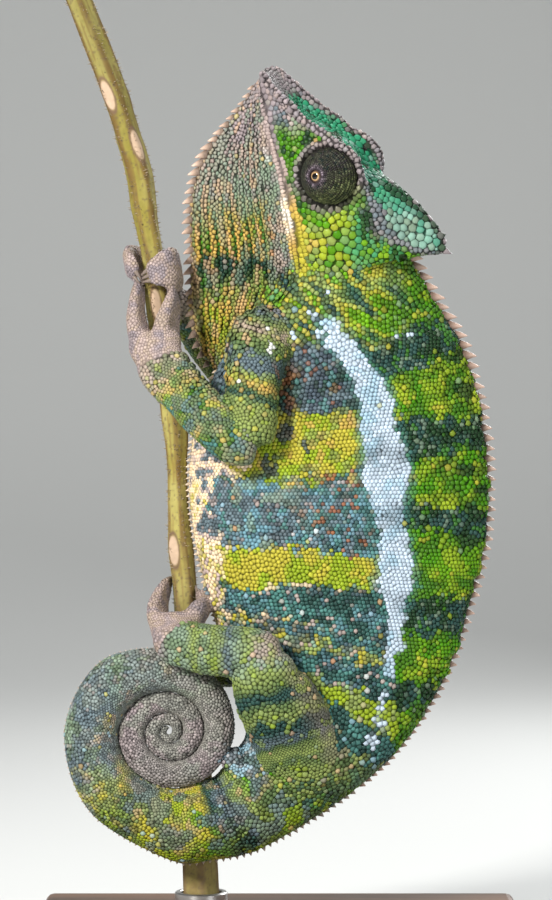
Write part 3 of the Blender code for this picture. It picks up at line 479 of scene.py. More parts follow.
PALATE = np.array(MOUTH) * np.array([1.0, 1.0, 0.0])
DIP = np.array([0, 0.2, 0.6, 1.1, 1.5, 1.5, 1.0, 0.5, 0.3, 0, 0, 0, 0, 0, 0])     # between the crests
HOLLOW = np.array(CROWN) - np.outer(DIP, [0.0, 1.0, 0.0])
HOLLOW_SIDE = np.array(CROWN_SIDE) - np.outer(DIP, [0.0, 0.8, 0.0])
head_surface = through_lines([HOLLOW, HOLLOW_SIDE, CREST, UNDER_CREST, TEMPLE, CHEEK, LIP, MOUTH, PALATE])
throat_surface = through_lines(throat_lines())
print("snout at", head_surface(np.array([0.0]), np.array([0.0])).round(1))

# %% [markdown]
# ## Limbs, hands and feet
#
# A chameleon's toes are fused in two bundles that close on a twig like tongs. Each limb is a tube
# along a bent path. Each bundle of toes is a few slimmer tubes laid side by side, so that grooves
# show between the toes once everything is under one skin.

# %% Limb paths
LIMBS = {
    "arm_left_upper": [(1.0, -5.0, 152.6, 6.5, 5.0), (-4.6, -10.4, 148.8, 8.2, 6.0),
                       (-6.2, -14.2, 141.4, 7.0, 5.8), (-6.2, -16.8, 134.0, 6.1, 5.4),
                       (-6.2, -18.2, 128.6, 5.6, 5.2), (-7.0, -18.6, 125.0, 4.6, 4.8)],
    "arm_left_lower": [(-5.4, -18.6, 124.6, 3.6, 4.0), (-8.6, -18.4, 124.8, 5.2, 5.0),
                       (-12.4, -17.8, 126.8, 5.6, 5.0), (-17.2, -16.0, 131.6, 6.0, 5.0),
                       (-22.0, -13.4, 136.6, 5.8, 4.8), (-26.0, -11.2, 140.6, 5.7, 4.5),
                       (-28.4, -9.9, 143.6, 5.7, 4.3)],
    "arm_right_upper": [(4.0, 5.0, 154.0, 6.5, 5.0), (-0.6, 10.8, 151.4, 7.0, 5.6),
                        (-4.0, 14.8, 146.4, 6.3, 5.4), (-6.4, 17.6, 141.0, 5.4, 5.0),
                        (-7.2, 18.2, 138.4, 4.4, 4.6)],
    "arm_right_lower": [(-5.6, 17.8, 137.8, 3.4, 4.0), (-8.4, 17.8, 139.2, 5.0, 4.8),
                        (-12.0, 17.0, 142.6, 5.5, 4.9), (-17.0, 15.2, 148.6, 5.4, 4.7),
                        (-22.0, 12.8, 155.0, 4.8, 4.2), (-27.0, 9.6, 161.6, 4.6, 3.9)],
    "leg_left_upper": [(8.5, -2.4, 42.5, 10.0, 4.4), (6.2, -6.0, 49.0, 11.0, 5.6),
                       (3.0, -9.6, 56.6, 10.2, 6.4), (0.0, -13.8, 62.8, 9.8, 7.0),
                       (-3.0, -16.4, 69.0, 8.8, 6.6), (-3.0, -17.8, 74.0, 6.6, 6.0),
                       (-2.6, -18.2, 77.6, 4.6, 5.0)],
    "leg_left_lower": [(0.6, -18.0, 76.0, 3.6, 4.2), (-2.8, -17.9, 76.0, 5.4, 5.2),
                       (-8.0, -17.4, 76.3, 6.1, 5.2), (-14.0, -16.0, 76.5, 6.3, 5.0),
                       (-20.0, -13.8, 77.4, 6.0, 4.6), (-24.4, -11.8, 78.8, 5.4, 4.2)],
    "leg_right_upper": [(8.5, 2.4, 42.5, 10.0, 4.4), (6.4, 6.0, 49.0, 11.0, 5.6),
                        (3.4, 9.8, 56.2, 10.2, 6.4), (1.6, 14.0, 61.4, 9.2, 7.0),
                        (-0.2, 16.8, 66.6, 7.6, 6.6), (-1.4, 18.2, 70.4, 6.2, 6.0),
                        (-2.0, 18.6, 73.6, 4.6, 5.0)],
    "leg_right_lower": [(0.8, 18.4, 72.0, 3.6, 4.2), (-2.4, 18.4, 71.8, 5.4, 5.2),
                        (-7.2, 18.2, 71.4, 6.0, 5.2), (-12.6, 17.4, 71.0, 6.0, 4.9),
                        (-17.4, 15.8, 70.8, 5.6, 4.5), (-20.6, 14.0, 70.8, 5.0, 4.1)],
}
GRIPS = {
    "hand_left": {
        "palm": [(-28.9, -9.4, 144.8, 5.7, 4.1), (-29.6, -8.4, 148.0, 6.6, 4.1),
                 (-30.0, -7.2, 151.2, 6.2, 3.5)],
        "outer": [(-33.0, -7.6, 149.2, 3.6, 3.4), (-34.0, -6.6, 153.8, 2.8, 3.2),
                  (-34.2, -4.7, 158.0, 2.3, 2.9), (-33.9, -2.4, 161.3, 2.0, 2.4),
                  (-33.5, -0.8, 163.0, 1.4, 1.7)],
        "inner": [(-26.8, -7.8, 149.2, 4.0, 3.4), (-26.9, -6.8, 152.8, 3.6, 3.1),
                  (-26.2, -5.4, 156.3, 2.9, 2.8), (-25.4, -3.4, 159.5, 2.1, 2.4),
                  (-25.1, -1.8, 161.4, 1.3, 1.7)],
        "toes": (2, 3)},
    "hand_right": {
        "palm": [(-27.4, 9.2, 162.2, 4.7, 3.7), (-29.0, 7.8, 165.6, 5.4, 3.8),
                 (-30.4, 6.8, 168.6, 4.8, 3.2)],
        "outer": [(-31.0, 7.4, 167.6, 3.2, 3.2), (-34.6, 5.0, 169.4, 3.4, 2.6),
                  (-36.2, 1.4, 169.2, 3.6, 2.2), (-35.8, -2.2, 167.6, 3.0, 2.0),
                  (-34.4, -4.0, 165.2, 1.7, 1.6)],
        "inner": [(-28.6, 7.4, 166.2, 3.6, 3.2), (-25.6, 4.6, 166.6, 4.4, 2.6),
                  (-25.0, 0.6, 166.8, 4.9, 2.3), (-26.4, -3.4, 166.8, 4.6, 2.2),
                  (-29.2, -5.0, 166.0, 3.2, 2.0), (-31.8, -4.9, 165.0, 1.8, 1.6)],
        "toes": (2, 3)},
    "foot_left": {
        "palm": [(-24.6, -11.4, 79.0, 5.6, 3.9), (-24.8, -9.4, 81.0, 6.2, 4.0),
                 (-24.9, -7.4, 84.8, 6.0, 3.3)],
        "outer": [(-27.0, -8.6, 80.6, 3.9, 3.4), (-28.9, -6.0, 84.2, 3.1, 3.0),
                  (-28.6, -2.8, 87.8, 2.7, 2.7), (-27.4, 0.6, 90.6, 2.2, 2.4),
                  (-26.6, 2.0, 92.0, 1.5, 1.7)],
        "inner": [(-21.4, -8.2, 82.0, 3.8, 3.3), (-19.6, -6.4, 84.8, 3.2, 2.9),
                  (-18.4, -4.0, 86.4, 2.4, 2.4), (-18.8, -1.0, 88.4, 1.9, 2.0),
                  (-19.4, 0.4, 89.6, 1.3, 1.5)],
        "toes": (3, 2)},
    "foot_right": {
        "palm": [(-20.8, 13.2, 71.0, 5.2, 3.8), (-22.0, 11.4, 72.8, 6.0, 3.9),
                 (-22.6, 9.8, 75.2, 5.6, 3.3)],
        "outer": [(-24.4, 10.8, 72.8, 3.6, 3.3), (-27.2, 8.4, 74.6, 3.0, 3.0),
                  (-27.8, 5.2, 76.0, 2.6, 2.6), (-26.6, 2.4, 77.2, 2.1, 2.2),
                  (-25.4, 1.2, 77.8, 1.4, 1.5)],
        "inner": [(-20.0, 10.8, 73.0, 3.4, 3.2), (-17.2, 8.4, 74.8, 2.9, 2.9),
                  (-16.4, 5.2, 76.2, 2.5, 2.6), (-17.4, 2.4, 77.4, 2.1, 2.2),
                  (-18.6, 1.2, 78.0, 1.4, 1.5)],
        "toes": (3, 2)},
}


# %% Tubes and toes
def directions(rows, t, upright):
    """Heading of a path, and the two directions across it."""
    span = len(rows) - 1.0
    ahead = curve(rows, np.minimum(t + 0.05, span))[:, :3]
    heading = unit(ahead - curve(rows, np.maximum(t - 0.05, 0.0))[:, :3])
    if upright:
        flat = unit(np.array([0.0, 0.0, 1.0]) - heading * heading[:, 2:])
    else:
        flat = unit(np.cross(heading, [0.0, 1.0, 0.0]))
    return heading, flat, np.cross(heading, flat)


def tube_surface(rows, upright=False, blunt=0.10):
    """Limb surface: path(t) + flat * wide * cos + across * deep * sin, its ends rounded off."""
    rows = np.asarray(rows, float)

    def surface(along, around):
        t = along * (len(rows) - 1.0)
        here = curve(rows, t)
        _, flat, across = directions(rows, t, upright)
        near_end = np.clip(np.minimum(along, 1 - along) / blunt, 0.0, 1.0)
        dome = 0.2 + 0.8 * np.sqrt(1 - (1 - near_end) ** 2)
        angle = around * 2 * math.pi
        return (here[:, :3] + flat * (here[:, 3] * dome * np.cos(angle))[:, None]
                + across * (here[:, 4] * dome * np.sin(angle))[:, None])

    return surface


def toe_rows(rows, number, which, upright):
    """Path and radii of one toe of a bundle: the bundle's own path, shifted to one side."""
    rows = np.asarray(rows, float)
    _, flat, across = directions(rows, np.arange(len(rows), dtype=float), upright)
    aside = unit(flat * 1.1 + across * 0.2) if upright else unit(flat * 0.55 + across)
    shift = (which - (number - 1) / 2) * (0.95 if number == 2 else 0.70)
    toe = rows.copy()
    toe[:, :3] += aside * (rows[:, 3:5].mean(axis=1) * shift)[:, None]
    toe[:, 3:] *= 0.74 if number == 2 else 0.62
    return toe


surfaces = {"head": head_surface, "throat": throat_surface}
for name, rows in LIMBS.items():
    surfaces[name] = tube_surface(rows)
for name, parts in GRIPS.items():
    upright = name == "hand_right"
    surfaces[name + "_palm"] = tube_surface(parts["palm"])
    for bundle, number in zip(("outer", "inner"), parts["toes"]):
        for which in range(number):
            toe = toe_rows(parts[bundle], number, which, upright)
            surfaces[f"{name}_{bundle}_{which}"] = tube_surface(toe, upright, blunt=0.12)
print("surfaces:", len(surfaces))

# %% [markdown]
# ## One skin
#
# Casting every part in one go leaves no seams. The parts are joined, then turned into a fine block
# model (a voxel remesh: the volume is filled with small cubes and wrapped again), which melts them
# into one surface. A few rounds of smoothing take the steps out. The coiled tail's turns lie closer
# together than the cubes could tell apart, so the tail is a surface of its own. It starts a little
# inside the body and comes out to its surface over a short stretch, under the scales.

# %% Sizes of the skin, the eyes and small fillets
VOXEL = 0.72                    # size of the cubes
COAT = 0.32                     # how far the skin lies inside the outer form, room for the scales
TAIL_FROM = 21.0                # body row where the tail's own surface takes over
EYE_ALONG, EYE_UP, EYE_OUT, EYE_RADIUS = 20.6, 14.4, 8.2, 7.0
EYE_AIM = (0.20, -0.26, 0.95)
SOCKET_RADIUS = 7.9
CREST_RADIUS = ([-4, 4, 14, 26, 36, 48], [1.0, 1.2, 1.0, 1.1, 1.4, 1.4])
WRISTS = [[(-29.4, -9.2, 146.4, 5.9, 4.0), (-27.6, -10.3, 143.0, 6.3, 4.4), (-24.6, -12.0, 139.4, 6.1, 4.7),
           (-21.0, -14.0, 135.8, 5.4, 4.6)],
          [(-24.8, -10.8, 81.0, 5.6, 3.8), (-24.2, -12.0, 78.6, 6.0, 4.2), (-21.0, -13.4, 77.4, 5.6, 4.4)]]
VENT = [(-13.8, -4.5, 48.4, 2.4, 2.4), (-11.6, -4.8, 49.3, 3.2, 2.9), (-8.6, -5.0, 50.2, 3.4, 3.0)]


# %% Eye frame, eye fold and crest cord
def taper(surface, start, end, depth=0.18):
    """A surface drawn in toward its ring's middle where `along` passes from start to end."""
    def drawn(along, around):
        points = surface(along, around)
        opposite = surface(along, around + 0.5)
        share = step(start, end, along) * depth
        return points + (opposite - points) * share[:, None]
    return drawn


def eye_frame(side):
    """Centre of an eye turret, its aim, and two directions across the aim."""
    centre = head_place(EYE_ALONG, EYE_UP, EYE_OUT * side)
    ahead = head_place(EYE_ALONG + EYE_AIM[0], EYE_UP + EYE_AIM[1], (EYE_OUT + EYE_AIM[2]) * side)
    aim = unit(ahead - centre)
    across = unit(np.cross(aim, [0.0, 0.0, 1.0]))
    return centre, aim, across, np.cross(across, aim)


def socket_surface(side):
    """A low fold of skin round the eye: a ring with a round section (a torus)."""
    centre = head_place(EYE_ALONG, EYE_UP, (EYE_OUT + 0.6) * side)
    out = unit(head_place(EYE_ALONG, EYE_UP, (EYE_OUT + 2.0) * side) - centre)
    one = unit(np.cross(out, [0.0, 0.3, 1.0]))
    two = np.cross(out, one)

    def surface(along, around):
        turn, roll = along * 2 * math.pi, around * 2 * math.pi
        return (centre + spun(one, two, turn) * (SOCKET_RADIUS + 1.15 * np.cos(roll))[:, None]
                + out * (1.25 * np.sin(roll))[:, None])

    return surface


def ridge_surface(line, radius, lift=0.0):
    """A lumpy cord laid along one of the head's lines: the raised crest under its scales."""
    line = np.asarray(line, float)

    def surface(along, around):
        where = 0.25 + along * (len(line) - 1.25)
        local = curve(line, where)
        ahead = curve(line, np.minimum(where + 0.05, len(line) - 1.0))
        centre = head_place(local[:, 0], local[:, 1] + lift, local[:, 2] * 0.94)
        beyond = head_place(ahead[:, 0], ahead[:, 1] + lift, ahead[:, 2] * 0.94)
        heading = unit(beyond - centre + [0, 0, 1e-9])
        one = unit(np.cross(heading, [0.0, 1.0, 0.0]))
        two = np.cross(heading, one)
        size = np.interp(local[:, 0], *radius)
        from_end = step(0.0, 0.05, np.minimum(along, 1 - along))
        size = size * (0.82 + 0.36 * noise(centre, 2.4, 71)) * (0.3 + 0.7 * from_end)
        return centre + spun(one, two, around * 2 * math.pi) * size[:, None]

    return surface


# %% Join and melt
def joined(meshes):
    """Several (points, triangles) pairs as one."""
    offsets = np.cumsum([0] + [len(points) for points, _ in meshes])
    return (np.vstack([points for points, _ in meshes]),
            np.vstack([tris + offset for (_, tris), offset in zip(meshes, offsets)]))


def torus_grid(surface, rows, columns):
    """Points and triangles of a surface closed both ways."""
    along, around = np.meshgrid(np.arange(rows) / rows, np.arange(columns) / columns, indexing="ij")
    at = np.arange(rows * columns).reshape(rows, columns)
    down, right = np.roll(at, -1, axis=0), np.roll(at, -1, axis=1)
    quads = np.stack([at, right, np.roll(down, -1, axis=1), down], axis=-1).reshape(-1, 4)
    tris = np.vstack([quads[:, [0, 1, 2]], quads[:, [0, 2, 3]]])
    return outward(surface(along.ravel(), around.ravel()), tris)


OVERLAP = 0.45                  # body and tail each reach this many rows past TAIL_FROM, tapering
BODY_END = TAIL_FROM + OVERLAP
narrowing = 1 - OVERLAP / (BODY_END - FIRST_ROW)
parts = [closed_grid(taper(body_surface(FIRST_ROW, BODY_END), narrowing, 1.0), 300, 96)]
for name, surface in surfaces.items():
    rows, columns = (150, 96) if name in ("head", "throat") else (60, 40)
    parts.append(closed_grid(surface, rows, columns))
parts += [torus_grid(socket_surface(side), 72, 16) for side in (1, -1)]
parts += [closed_grid(tube_surface(rows), 40, 40) for rows in WRISTS]
parts += [closed_grid(tube_surface(VENT), 30, 30)]
for side in (1, -1):
    crest_line = np.array(CREST) * [1.0, 1.0, side]
    parts.append(closed_grid(ridge_surface(crest_line, CREST_RADIUS, -0.9), 160, 16))
flesh = store("flesh", *joined(parts))
remesh = flesh.modifiers.new("cubes", "REMESH")
remesh.mode = "VOXEL"
remesh.voxel_size = VOXEL * MM
melted = bpy.data.meshes.new_from_object(flesh.evaluated_get(bpy.context.evaluated_depsgraph_get()))
bpy.data.objects.remove(flesh, do_unlink=True)


def rows_from(items, key, width, number=float):
    """One property of all the items of a mesh, as rows."""
    values = np.empty(len(items) * width, dtype=number)
    items.foreach_get(key, values)
    return values.reshape(-1, width)


skin_points = rows_from(melted.vertices, "co", 3) / MM
edges = rows_from(melted.edges, "vertices", 2, np.int32)
melted.calc_loop_triangles()
skin_tris = rows_from(melted.loop_triangles, "vertices", 3, np.int32)
print("melted skin:", len(skin_points), "points", len(skin_tris), "triangles")


# %% [markdown]
# Skin that is stretched over muscle has soft folds, so the melted surface is smoothed first, the sharp
# creases where limbs join the trunk are filled, and then every point moves along its normal by the
# height of the folds at its place. All of it is done on whole arrays of points.

# %% Tools for points that share edges
def add_up(count, index, values):
    """Sum of values over repeated indices, one column at a time."""
    return np.stack([np.bincount(index, values[:, k], count) for k in range(values.shape[1])], axis=1)


def neighbour_mean(count, edges):
    """A function of points that gives the mean place of each point's neighbours."""
    ends = np.concatenate([edges[:, 0], edges[:, 1]])
    others = np.concatenate([edges[:, 1], edges[:, 0]])
    degree = np.maximum(np.bincount(ends, minlength=count), 1)[:, None]
    return lambda points: add_up(count, ends, points[others]) / degree


def smoothed(points, mean_at, rounds, share=0.5):
    """Rounds in pairs: every point moves toward the mean of its neighbours, then almost as far back."""
    for number in range(rounds):
        points = points + (mean_at(points) - points) * (share if number % 2 == 0 else -share * 0.96)
    return points


def point_normals(points, tris):
    """Normal at each point: the sum of its triangles' normals, each as long as its area."""
    a, b, c = (points[tris[:, k]] for k in range(3))
    face = np.cross(b - a, c - a)
    total = sum(add_up(len(points), tris[:, k], face) for k in range(3))
    return unit(total)


# %% Pleats, lumps and creases
def line_up(line, along, column=1):
    """Height of one of the head's lines at a distance along the head; column 2 gives its way out."""
    line = np.array(line)[::-1]
    return np.interp(along, line[:, 0], line[:, column])


def throat_share(points):
    """0 at the mouth line, 1 at the throat's edge, with the distance along the head."""
    along, up, _ = head_frame(points)
    top = line_up(MOUTH, along) - np.maximum(-3.4 - along, 0) * 1.05
    edge = line_up(THROAT_EDGE, along)
    return np.clip((top - up) / np.maximum(top - edge, 1.0), 0.0, 1.0), along


PLEATS = 14                     # lengthwise folds from mouth to throat edge


def pleats(points, share):
    """Height of the throat's pleats, from -1 to 1: cos(2 pi (share x PLEATS + a slow wander))."""
    return np.cos(2 * math.pi * (share * PLEATS + 0.6 * noise(points, 9.0, 5)))


def lumps(points):
    """Soft lumps on the back of the animal, 0 in the hollows and 1 on top."""
    return step(0.36, 0.66, 0.7 * noise(points * [1.0, 0.8, 1.15], 3.4, 61) + 0.3 * noise(points, 1.8, 62))


def back_creases(points):
    """Short folds that run in from the back's edge, 1 in the fold."""
    x, y, z = points.T
    return step(0.60, 0.74, noise(np.column_stack([x / 5.0, y / 4.0, (z + 0.15 * x) / 1.5]), 1.0, 25))


KNEE = (-2.0, -17.0, 64.0)


def folds(points):
    """Height of the skin's folds: pleats down the throat, lumps on the back, slight waves."""
    along, up, _ = head_frame(points)
    share, _ = throat_share(points)
    on_throat = (band(share, 0.05, 0.93, 0.05) * step(-26, -20, along) * (1 - step(38, 45, along))
                 * step(0.2, 1.0, line_up(MOUTH, along) - up))
    waves = 0.30 * (noise(points, 4.0, 1) - 0.5) + 0.5 * (noise(points, 13.0, 2) - 0.5)
    back = step(27, 33, points[:, 0] + 0.10 * (points[:, 2] - 100)) * band(points[:, 2], 58, 152, 4)
    near_edge = step(36, 43, points[:, 0] + 0.004 * (points[:, 2] - 112) ** 2)
    relief = back * (0.60 * (lumps(points) - 0.4) - 0.40 * back_creases(points) * near_edge)
    shin = bump(np.linalg.norm((points - KNEE) * [0.9, 0.6, 0.8], axis=1), 0.0, 8.0)
    rings = 0.16 * shin * np.cos(2 * math.pi * (points[:, 2] - 0.30 * points[:, 0]) / 2.1)
    return 0.42 * pleats(points, share) * on_throat + waves + relief + rings


# %% Smooth, fill and fold
def filled(points, mean_at, tris, places, reach, rounds):
    """Soften the creases near some places: only hollows move, outward, as wet clay is thumbed in."""
    near_place = np.zeros(len(points))
    for place in places:
        away = np.linalg.norm(points - place, axis=1) / reach
        near_place = np.maximum(near_place, 1 - step(0.7, 1.0, away))
    for _ in range(rounds):
        normals = point_normals(points, tris)
        rise = np.einsum("ij,ij->i", mean_at(points) - points, normals)
        points = points + normals * (np.maximum(rise, 0.0) * near_place)[:, None]
    return points


LIMB_ROOTS = [(4.0, -9.5, 43.0), (4.0, 9.5, 43.0), (13.0, -9.0, 49.0), (13.0, 9.0, 49.0),
              (1.0, -9.0, 154.0), (1.0, 9.0, 154.0),
              (-28.6, -9.6, 143.5), (-24.4, -11.4, 79.4), (-27.2, 9.4, 162.0), (-20.8, 13.4, 71.2)]
mean_at = neighbour_mean(len(skin_points), edges)
skin_points = smoothed(skin_points, mean_at, 8)
skin_points = filled(skin_points, mean_at, skin_tris, np.array(LIMB_ROOTS), 8.0, 45)
skin_points = smoothed(skin_points, mean_at, 2)
normals = point_normals(skin_points, skin_tris)
skin_points = skin_points + normals * (folds(skin_points) - COAT)[:, None]

# %% The tail's own skin
TAIL_START = BODY_END - 2 * OVERLAP
tail_surface = taper(body_surface(TAIL_START, LAST_ROW), OVERLAP / (LAST_ROW - BODY_END + 2 * OVERLAP), 0.0)
# the whole skin stays under 200,000 triangles
TAIL_RINGS, TAIL_SIDES = 360, 30       # rings along the tail and points round each ring
tail_points, tail_tris = closed_grid(tail_surface, TAIL_RINGS, TAIL_SIDES)
tail_normals = point_normals(tail_points, tail_tris)
FINE_COAT = 0.10                # the tail's scales are finer, so its skin lies less deep
ring_rows = np.repeat(np.linspace(TAIL_START, LAST_ROW, TAIL_RINGS), TAIL_SIDES)
depth = np.interp(ring_rows, [22.0, 24.0], [COAT, FINE_COAT])
tail_points = tail_points - tail_normals * np.append(depth, [COAT, FINE_COAT])[:, None]
both_points, both_tris = joined([(skin_points, skin_tris), (tail_points, tail_tris)])
both_normals = point_normals(both_points, both_tris)
tree = BVHTree.FromPolygons(both_points.tolist(), both_tris.tolist())
print("skin with tail:", len(both_points), "points", len(both_tris), "triangles")

# %% [markdown]
# ## Where each scale sits
#
# Real scales lie in rows over most of the body, and loosen into a pebbled pattern where the skin
# stretches. So rings of evenly spaced places are worked out on every surface, each ring shifted by
# half a step, and dropped onto the melted skin. Places that land inside another part are thrown out.
# Then they are thinned: taking the biggest first, each keeps its neighbours at a fair distance.

# %% Rows of places on every surface
KINDS = ["body", "head", "throat"] + [name for name in surfaces if name not in ("head", "throat")]
grip_kinds = np.array([name.startswith(("hand", "foot")) for name in KINDS])
PITCH = {"head": 0.96, "throat": 0.78, **dict.fromkeys(LIMBS, 0.82)}
GRIP_PITCH = 0.60
ROW_GAP = 0.87                  # distance between rows over pitch: sin 60 degrees, as in a honeycomb


def body_pitch(along):
    """Scales get finer toward the tip of the tail."""
    rows, pitches = [0, 4, 16, 19, 22, 32, LAST_ROW], [0.92, 1.00, 0.96, 0.86, 0.76, 0.66, 0.48]
    return np.interp(body_row(along), rows, pitches)


def rows_of_places(surface, pitch_at):
    """Rows of along, around and size: rings of places, every second ring shifted by half a step."""
    fine = np.linspace(0, 1, 401)
    side, other = (surface(fine, np.full(401, quarter)) for quarter in (0.25, 0.75))
    gaps = (np.linalg.norm(np.diff(side, axis=0), axis=1)
            + np.linalg.norm(np.diff(other, axis=0), axis=1)) / 2
    pitch = pitch_at(fine)
    count = np.concatenate([[0], np.cumsum(gaps / (ROW_GAP * (pitch[1:] + pitch[:-1]) / 2))])
    rings = np.interp(np.arange(0.5, count[-1]), count, fine)
    turn = np.linspace(0, 1, 97)
    places = []
    for number, where in enumerate(rings):
        ring = surface(np.full(97, where), turn)
        length = np.concatenate([[0], np.cumsum(np.linalg.norm(np.diff(ring, axis=0), axis=1))])
        own = float(np.interp(where, fine, pitch))
        total = max(int(round(length[-1] / own)), 5)
        spots = (np.arange(total) + 0.5 * (number % 2)) / total * length[-1]
        around = np.interp(spots, length, turn)
        here = np.full(total, where)
        next_ring = rings[number + 1] if number + 1 < len(rings) else rings[number - 1]
        apart = np.linalg.norm(surface(here, around) - surface(np.full(total, next_ring), around), axis=1)
        places.append(np.column_stack([here, around, np.clip(apart / ROW_GAP, 0.72 * own, 1.15 * own)]))
    return np.vstack(places)


def place_list():
    """All places: points, kind number, along, around and pitch."""
    found = []
    for number, kind in enumerate(KINDS):
        if kind == "body":
            surface, pitch_at = WHOLE_BODY, body_pitch
        else:
            surface = surfaces[kind]
            size = PITCH.get(kind, GRIP_PITCH)
            pitch_at = lambda along, size=size: np.full(np.shape(along), size)
        places = rows_of_places(surface, pitch_at)
        points = surface(places[:, 0], places[:, 1])
        found.append(np.column_stack([points, np.full(len(places), number), places]))
    return np.vstack(found)


# %% Drop the places onto the skin
def drop_to_skin(points, reach):
    """Nearest place on the skin, the smoothed normal there, and whether it lies within reach."""
    landed = np.zeros_like(points)
    face = np.zeros(len(points), dtype=int)
    good = np.zeros(len(points), bool)
    for number, point in enumerate(points.tolist()):
        where, _, index, _ = tree.find_nearest(point, reach)
        if where is not None:
            landed[number] = where
            face[number] = index
            good[number] = True
    return landed, unit(both_normals[both_tris[face]].mean(axis=1)), good


places = place_list()
landed, facing, good = drop_to_skin(places[:, :3], 1.1)
places, landed, facing = places[good], landed[good], facing[good]
print("places:", len(good), "on the skin:", len(places))

# %% [markdown]
# The head has the most varied scales: big flat plates on the cheek and casque, rough cones along
# both crests, square lip shields along the mouth. Seeds for those go in first, each with its own
# size. A few larger beads are scattered over body and limbs too, as on the living animal.

# %% Seeds for the large scales
GRAIN = np.random.default_rng(7)


def along_line(line, pitch, side, lift=0.0):
    """Points evenly spaced down one of the head's lines, and their pitch."""
    fine = curve(line, np.linspace(0, len(line) - 1, 400))
    fine[:, 1] += lift
    spots = head_place(fine[:, 0], fine[:, 1], fine[:, 2] * side)
    steps = np.linalg.norm(np.diff(spots, axis=0), axis=1)
    sizes = np.interp(fine[:, 0], *pitch)
    count = np.concatenate([[0], np.cumsum(steps / sizes[1:])])
    where = np.interp(np.arange(0.5, count[-1]), count, np.arange(400.0))
    return curve(spots, where), np.interp(where, np.arange(400.0), sizes)


seeds = []                       # rows of point, pitch and style
FLAT, CONE, SHIELD, BEAD, GRANULE = 0, 1, 2, 3, 4
CREST_PITCH = ([-4, 4, 14, 26, 36, 48], [1.1, 1.2, 1.0, 1.05, 1.25, 1.2])
LIP_PITCH = ([-4, 10, 30, 48], [0.85, 0.95, 0.95, 0.85])
for side in (1, -1):
    rows = [(CREST, CREST_PITCH, lift, CONE) for lift in (0.5, -0.6, -1.7)]
    rows += [(LIP, LIP_PITCH, -2.1, SHIELD), (MOUTH, LIP_PITCH, -0.9, SHIELD)]
    for line, pitch, lift, style in rows:
        spots, sizes = along_line(line, pitch, side, lift)
        loose = 0.35 if style == CONE else 0.05
        spots = spots + loose * (GRAIN.random(spots.shape) - 0.5)
        seeds.append(np.column_stack([spots, sizes * (1 - loose + 2 * loose * GRAIN.random(len(sizes))),
                                      np.full(len(sizes), style)]))
seeds = np.vstack(seeds)


# %% Plates, beads, rows and fill
def head_plate_pitch(points):
    """Size of the flat plates: largest on the cheek, smaller toward crown, snout and nape."""
    along, up, out = head_frame(points)
    crest = up - line_up(CREST, along)
    cheek = bump(along, 4.5, 6.5) * bump(up, 13.2, 6.0)
    casque = bump(along, 2.0, 10.0) * step(25.0, 28.0, up)
    nape = step(1.0, -4.0, along) * 0.25
    snout = step(24.0, 32.0, along) * 0.15
    crown = 0.55 * (np.abs(out) < 5.5) * step(-3.0, -2.0, crest) * band(along, 15, 40, 2)
    behind = band(crest, -5.5, -0.6, 1.0) * (1 - step(11, 15, along)) * step(15, 17, up)
    plate = (1.0 + 1.35 * cheek + 0.85 * casque) * (1 - 0.35 * behind)
    return plate + crown - nape - snout + 0.40 * noise(points, 3.0, 3)


kinds = places[:, 3].astype(int)
on_head = np.flatnonzero(kinds == KINDS.index("head"))
GRAIN.shuffle(on_head)
plate_spots = landed[on_head]
plates = np.column_stack([plate_spots, head_plate_pitch(plate_spots), np.full(len(on_head), FLAT)])

others = np.flatnonzero(kinds != KINDS.index("head"))
is_limb = np.array([name in LIMBS for name in KINDS])
bead_share = np.where(is_limb[kinds[others]], 0.040, np.where(kinds[others] < 3, 0.014, 0.0))
beads_at = others[GRAIN.random(len(others)) < bead_share]
beads_at = beads_at[(kinds[beads_at] != 0) | (body_row(places[beads_at, 4]) < 26)]
beads = np.column_stack([landed[beads_at], places[beads_at, 6] * 1.28, np.full(len(beads_at), BEAD)])

rows_left = np.column_stack([landed, places[:, 6], np.full(len(places), GRANULE)])
order = np.argsort(places[:, 3] * 10 + GRAIN.random(len(places)) * 0.5, kind="stable")
rows_left = rows_left[order]
rows_left[:, :3] += 0.12 * (GRAIN.random((len(rows_left), 3)) - 0.5)


def find_tree(spots):
    """A search tree over places."""
    tree_of_places = KDTree(len(spots))
    for number, point in enumerate(spots.tolist()):
        tree_of_places.insert(point, number)
    tree_of_places.balance()
    return tree_of_places


FILL = 90000                    # places scattered evenly by area, for gaps that the rows leave
a, b, c = (both_points[both_tris[:, k]] for k in range(3))
areas = np.linalg.norm(np.cross(b - a, c - a), axis=1)
chosen = GRAIN.choice(len(both_tris), FILL, p=areas / areas.sum())
r1, r2 = np.sqrt(GRAIN.random((FILL, 1))), GRAIN.random((FILL, 1))
scattered = a[chosen] * (1 - r1) + b[chosen] * r1 * (1 - r2) + c[chosen] * r1 * r2
near = find_tree(landed)
home = np.array([near.find(point)[1] for point in scattered.tolist()])
fill = np.column_stack([scattered, places[home, 6], np.full(len(scattered), GRANULE)])

wanted = np.vstack([seeds, plates, beads, rows_left, fill])
spot, out_way, good = drop_to_skin(wanted[:, :3], 2.6)
print("wanted:", len(wanted), "seeds:", len(seeds), "plates:", len(plates), "beads:", len(beads))


# %% [markdown]
# Scales stop at the rim of each eye and at the line of the mouth. The rest are thinned, and then
# pushed apart where they crowd, so that the gaps between them come out even.

# %% Distance from the mouth
def mouth_distance(points):
    """Distance from the line of the mouth, on both sides of the head."""
    along, up, out = head_frame(points)
    sideways = np.abs(out) - line_up(MOUTH, along, 2)
    return np.hypot(up - line_up(MOUTH, along), sideways) + 9 * (along < -3.0) + 9 * (along > 46.6)


eye_centres = [eye_frame(side)[0] for side in (1, -1)]


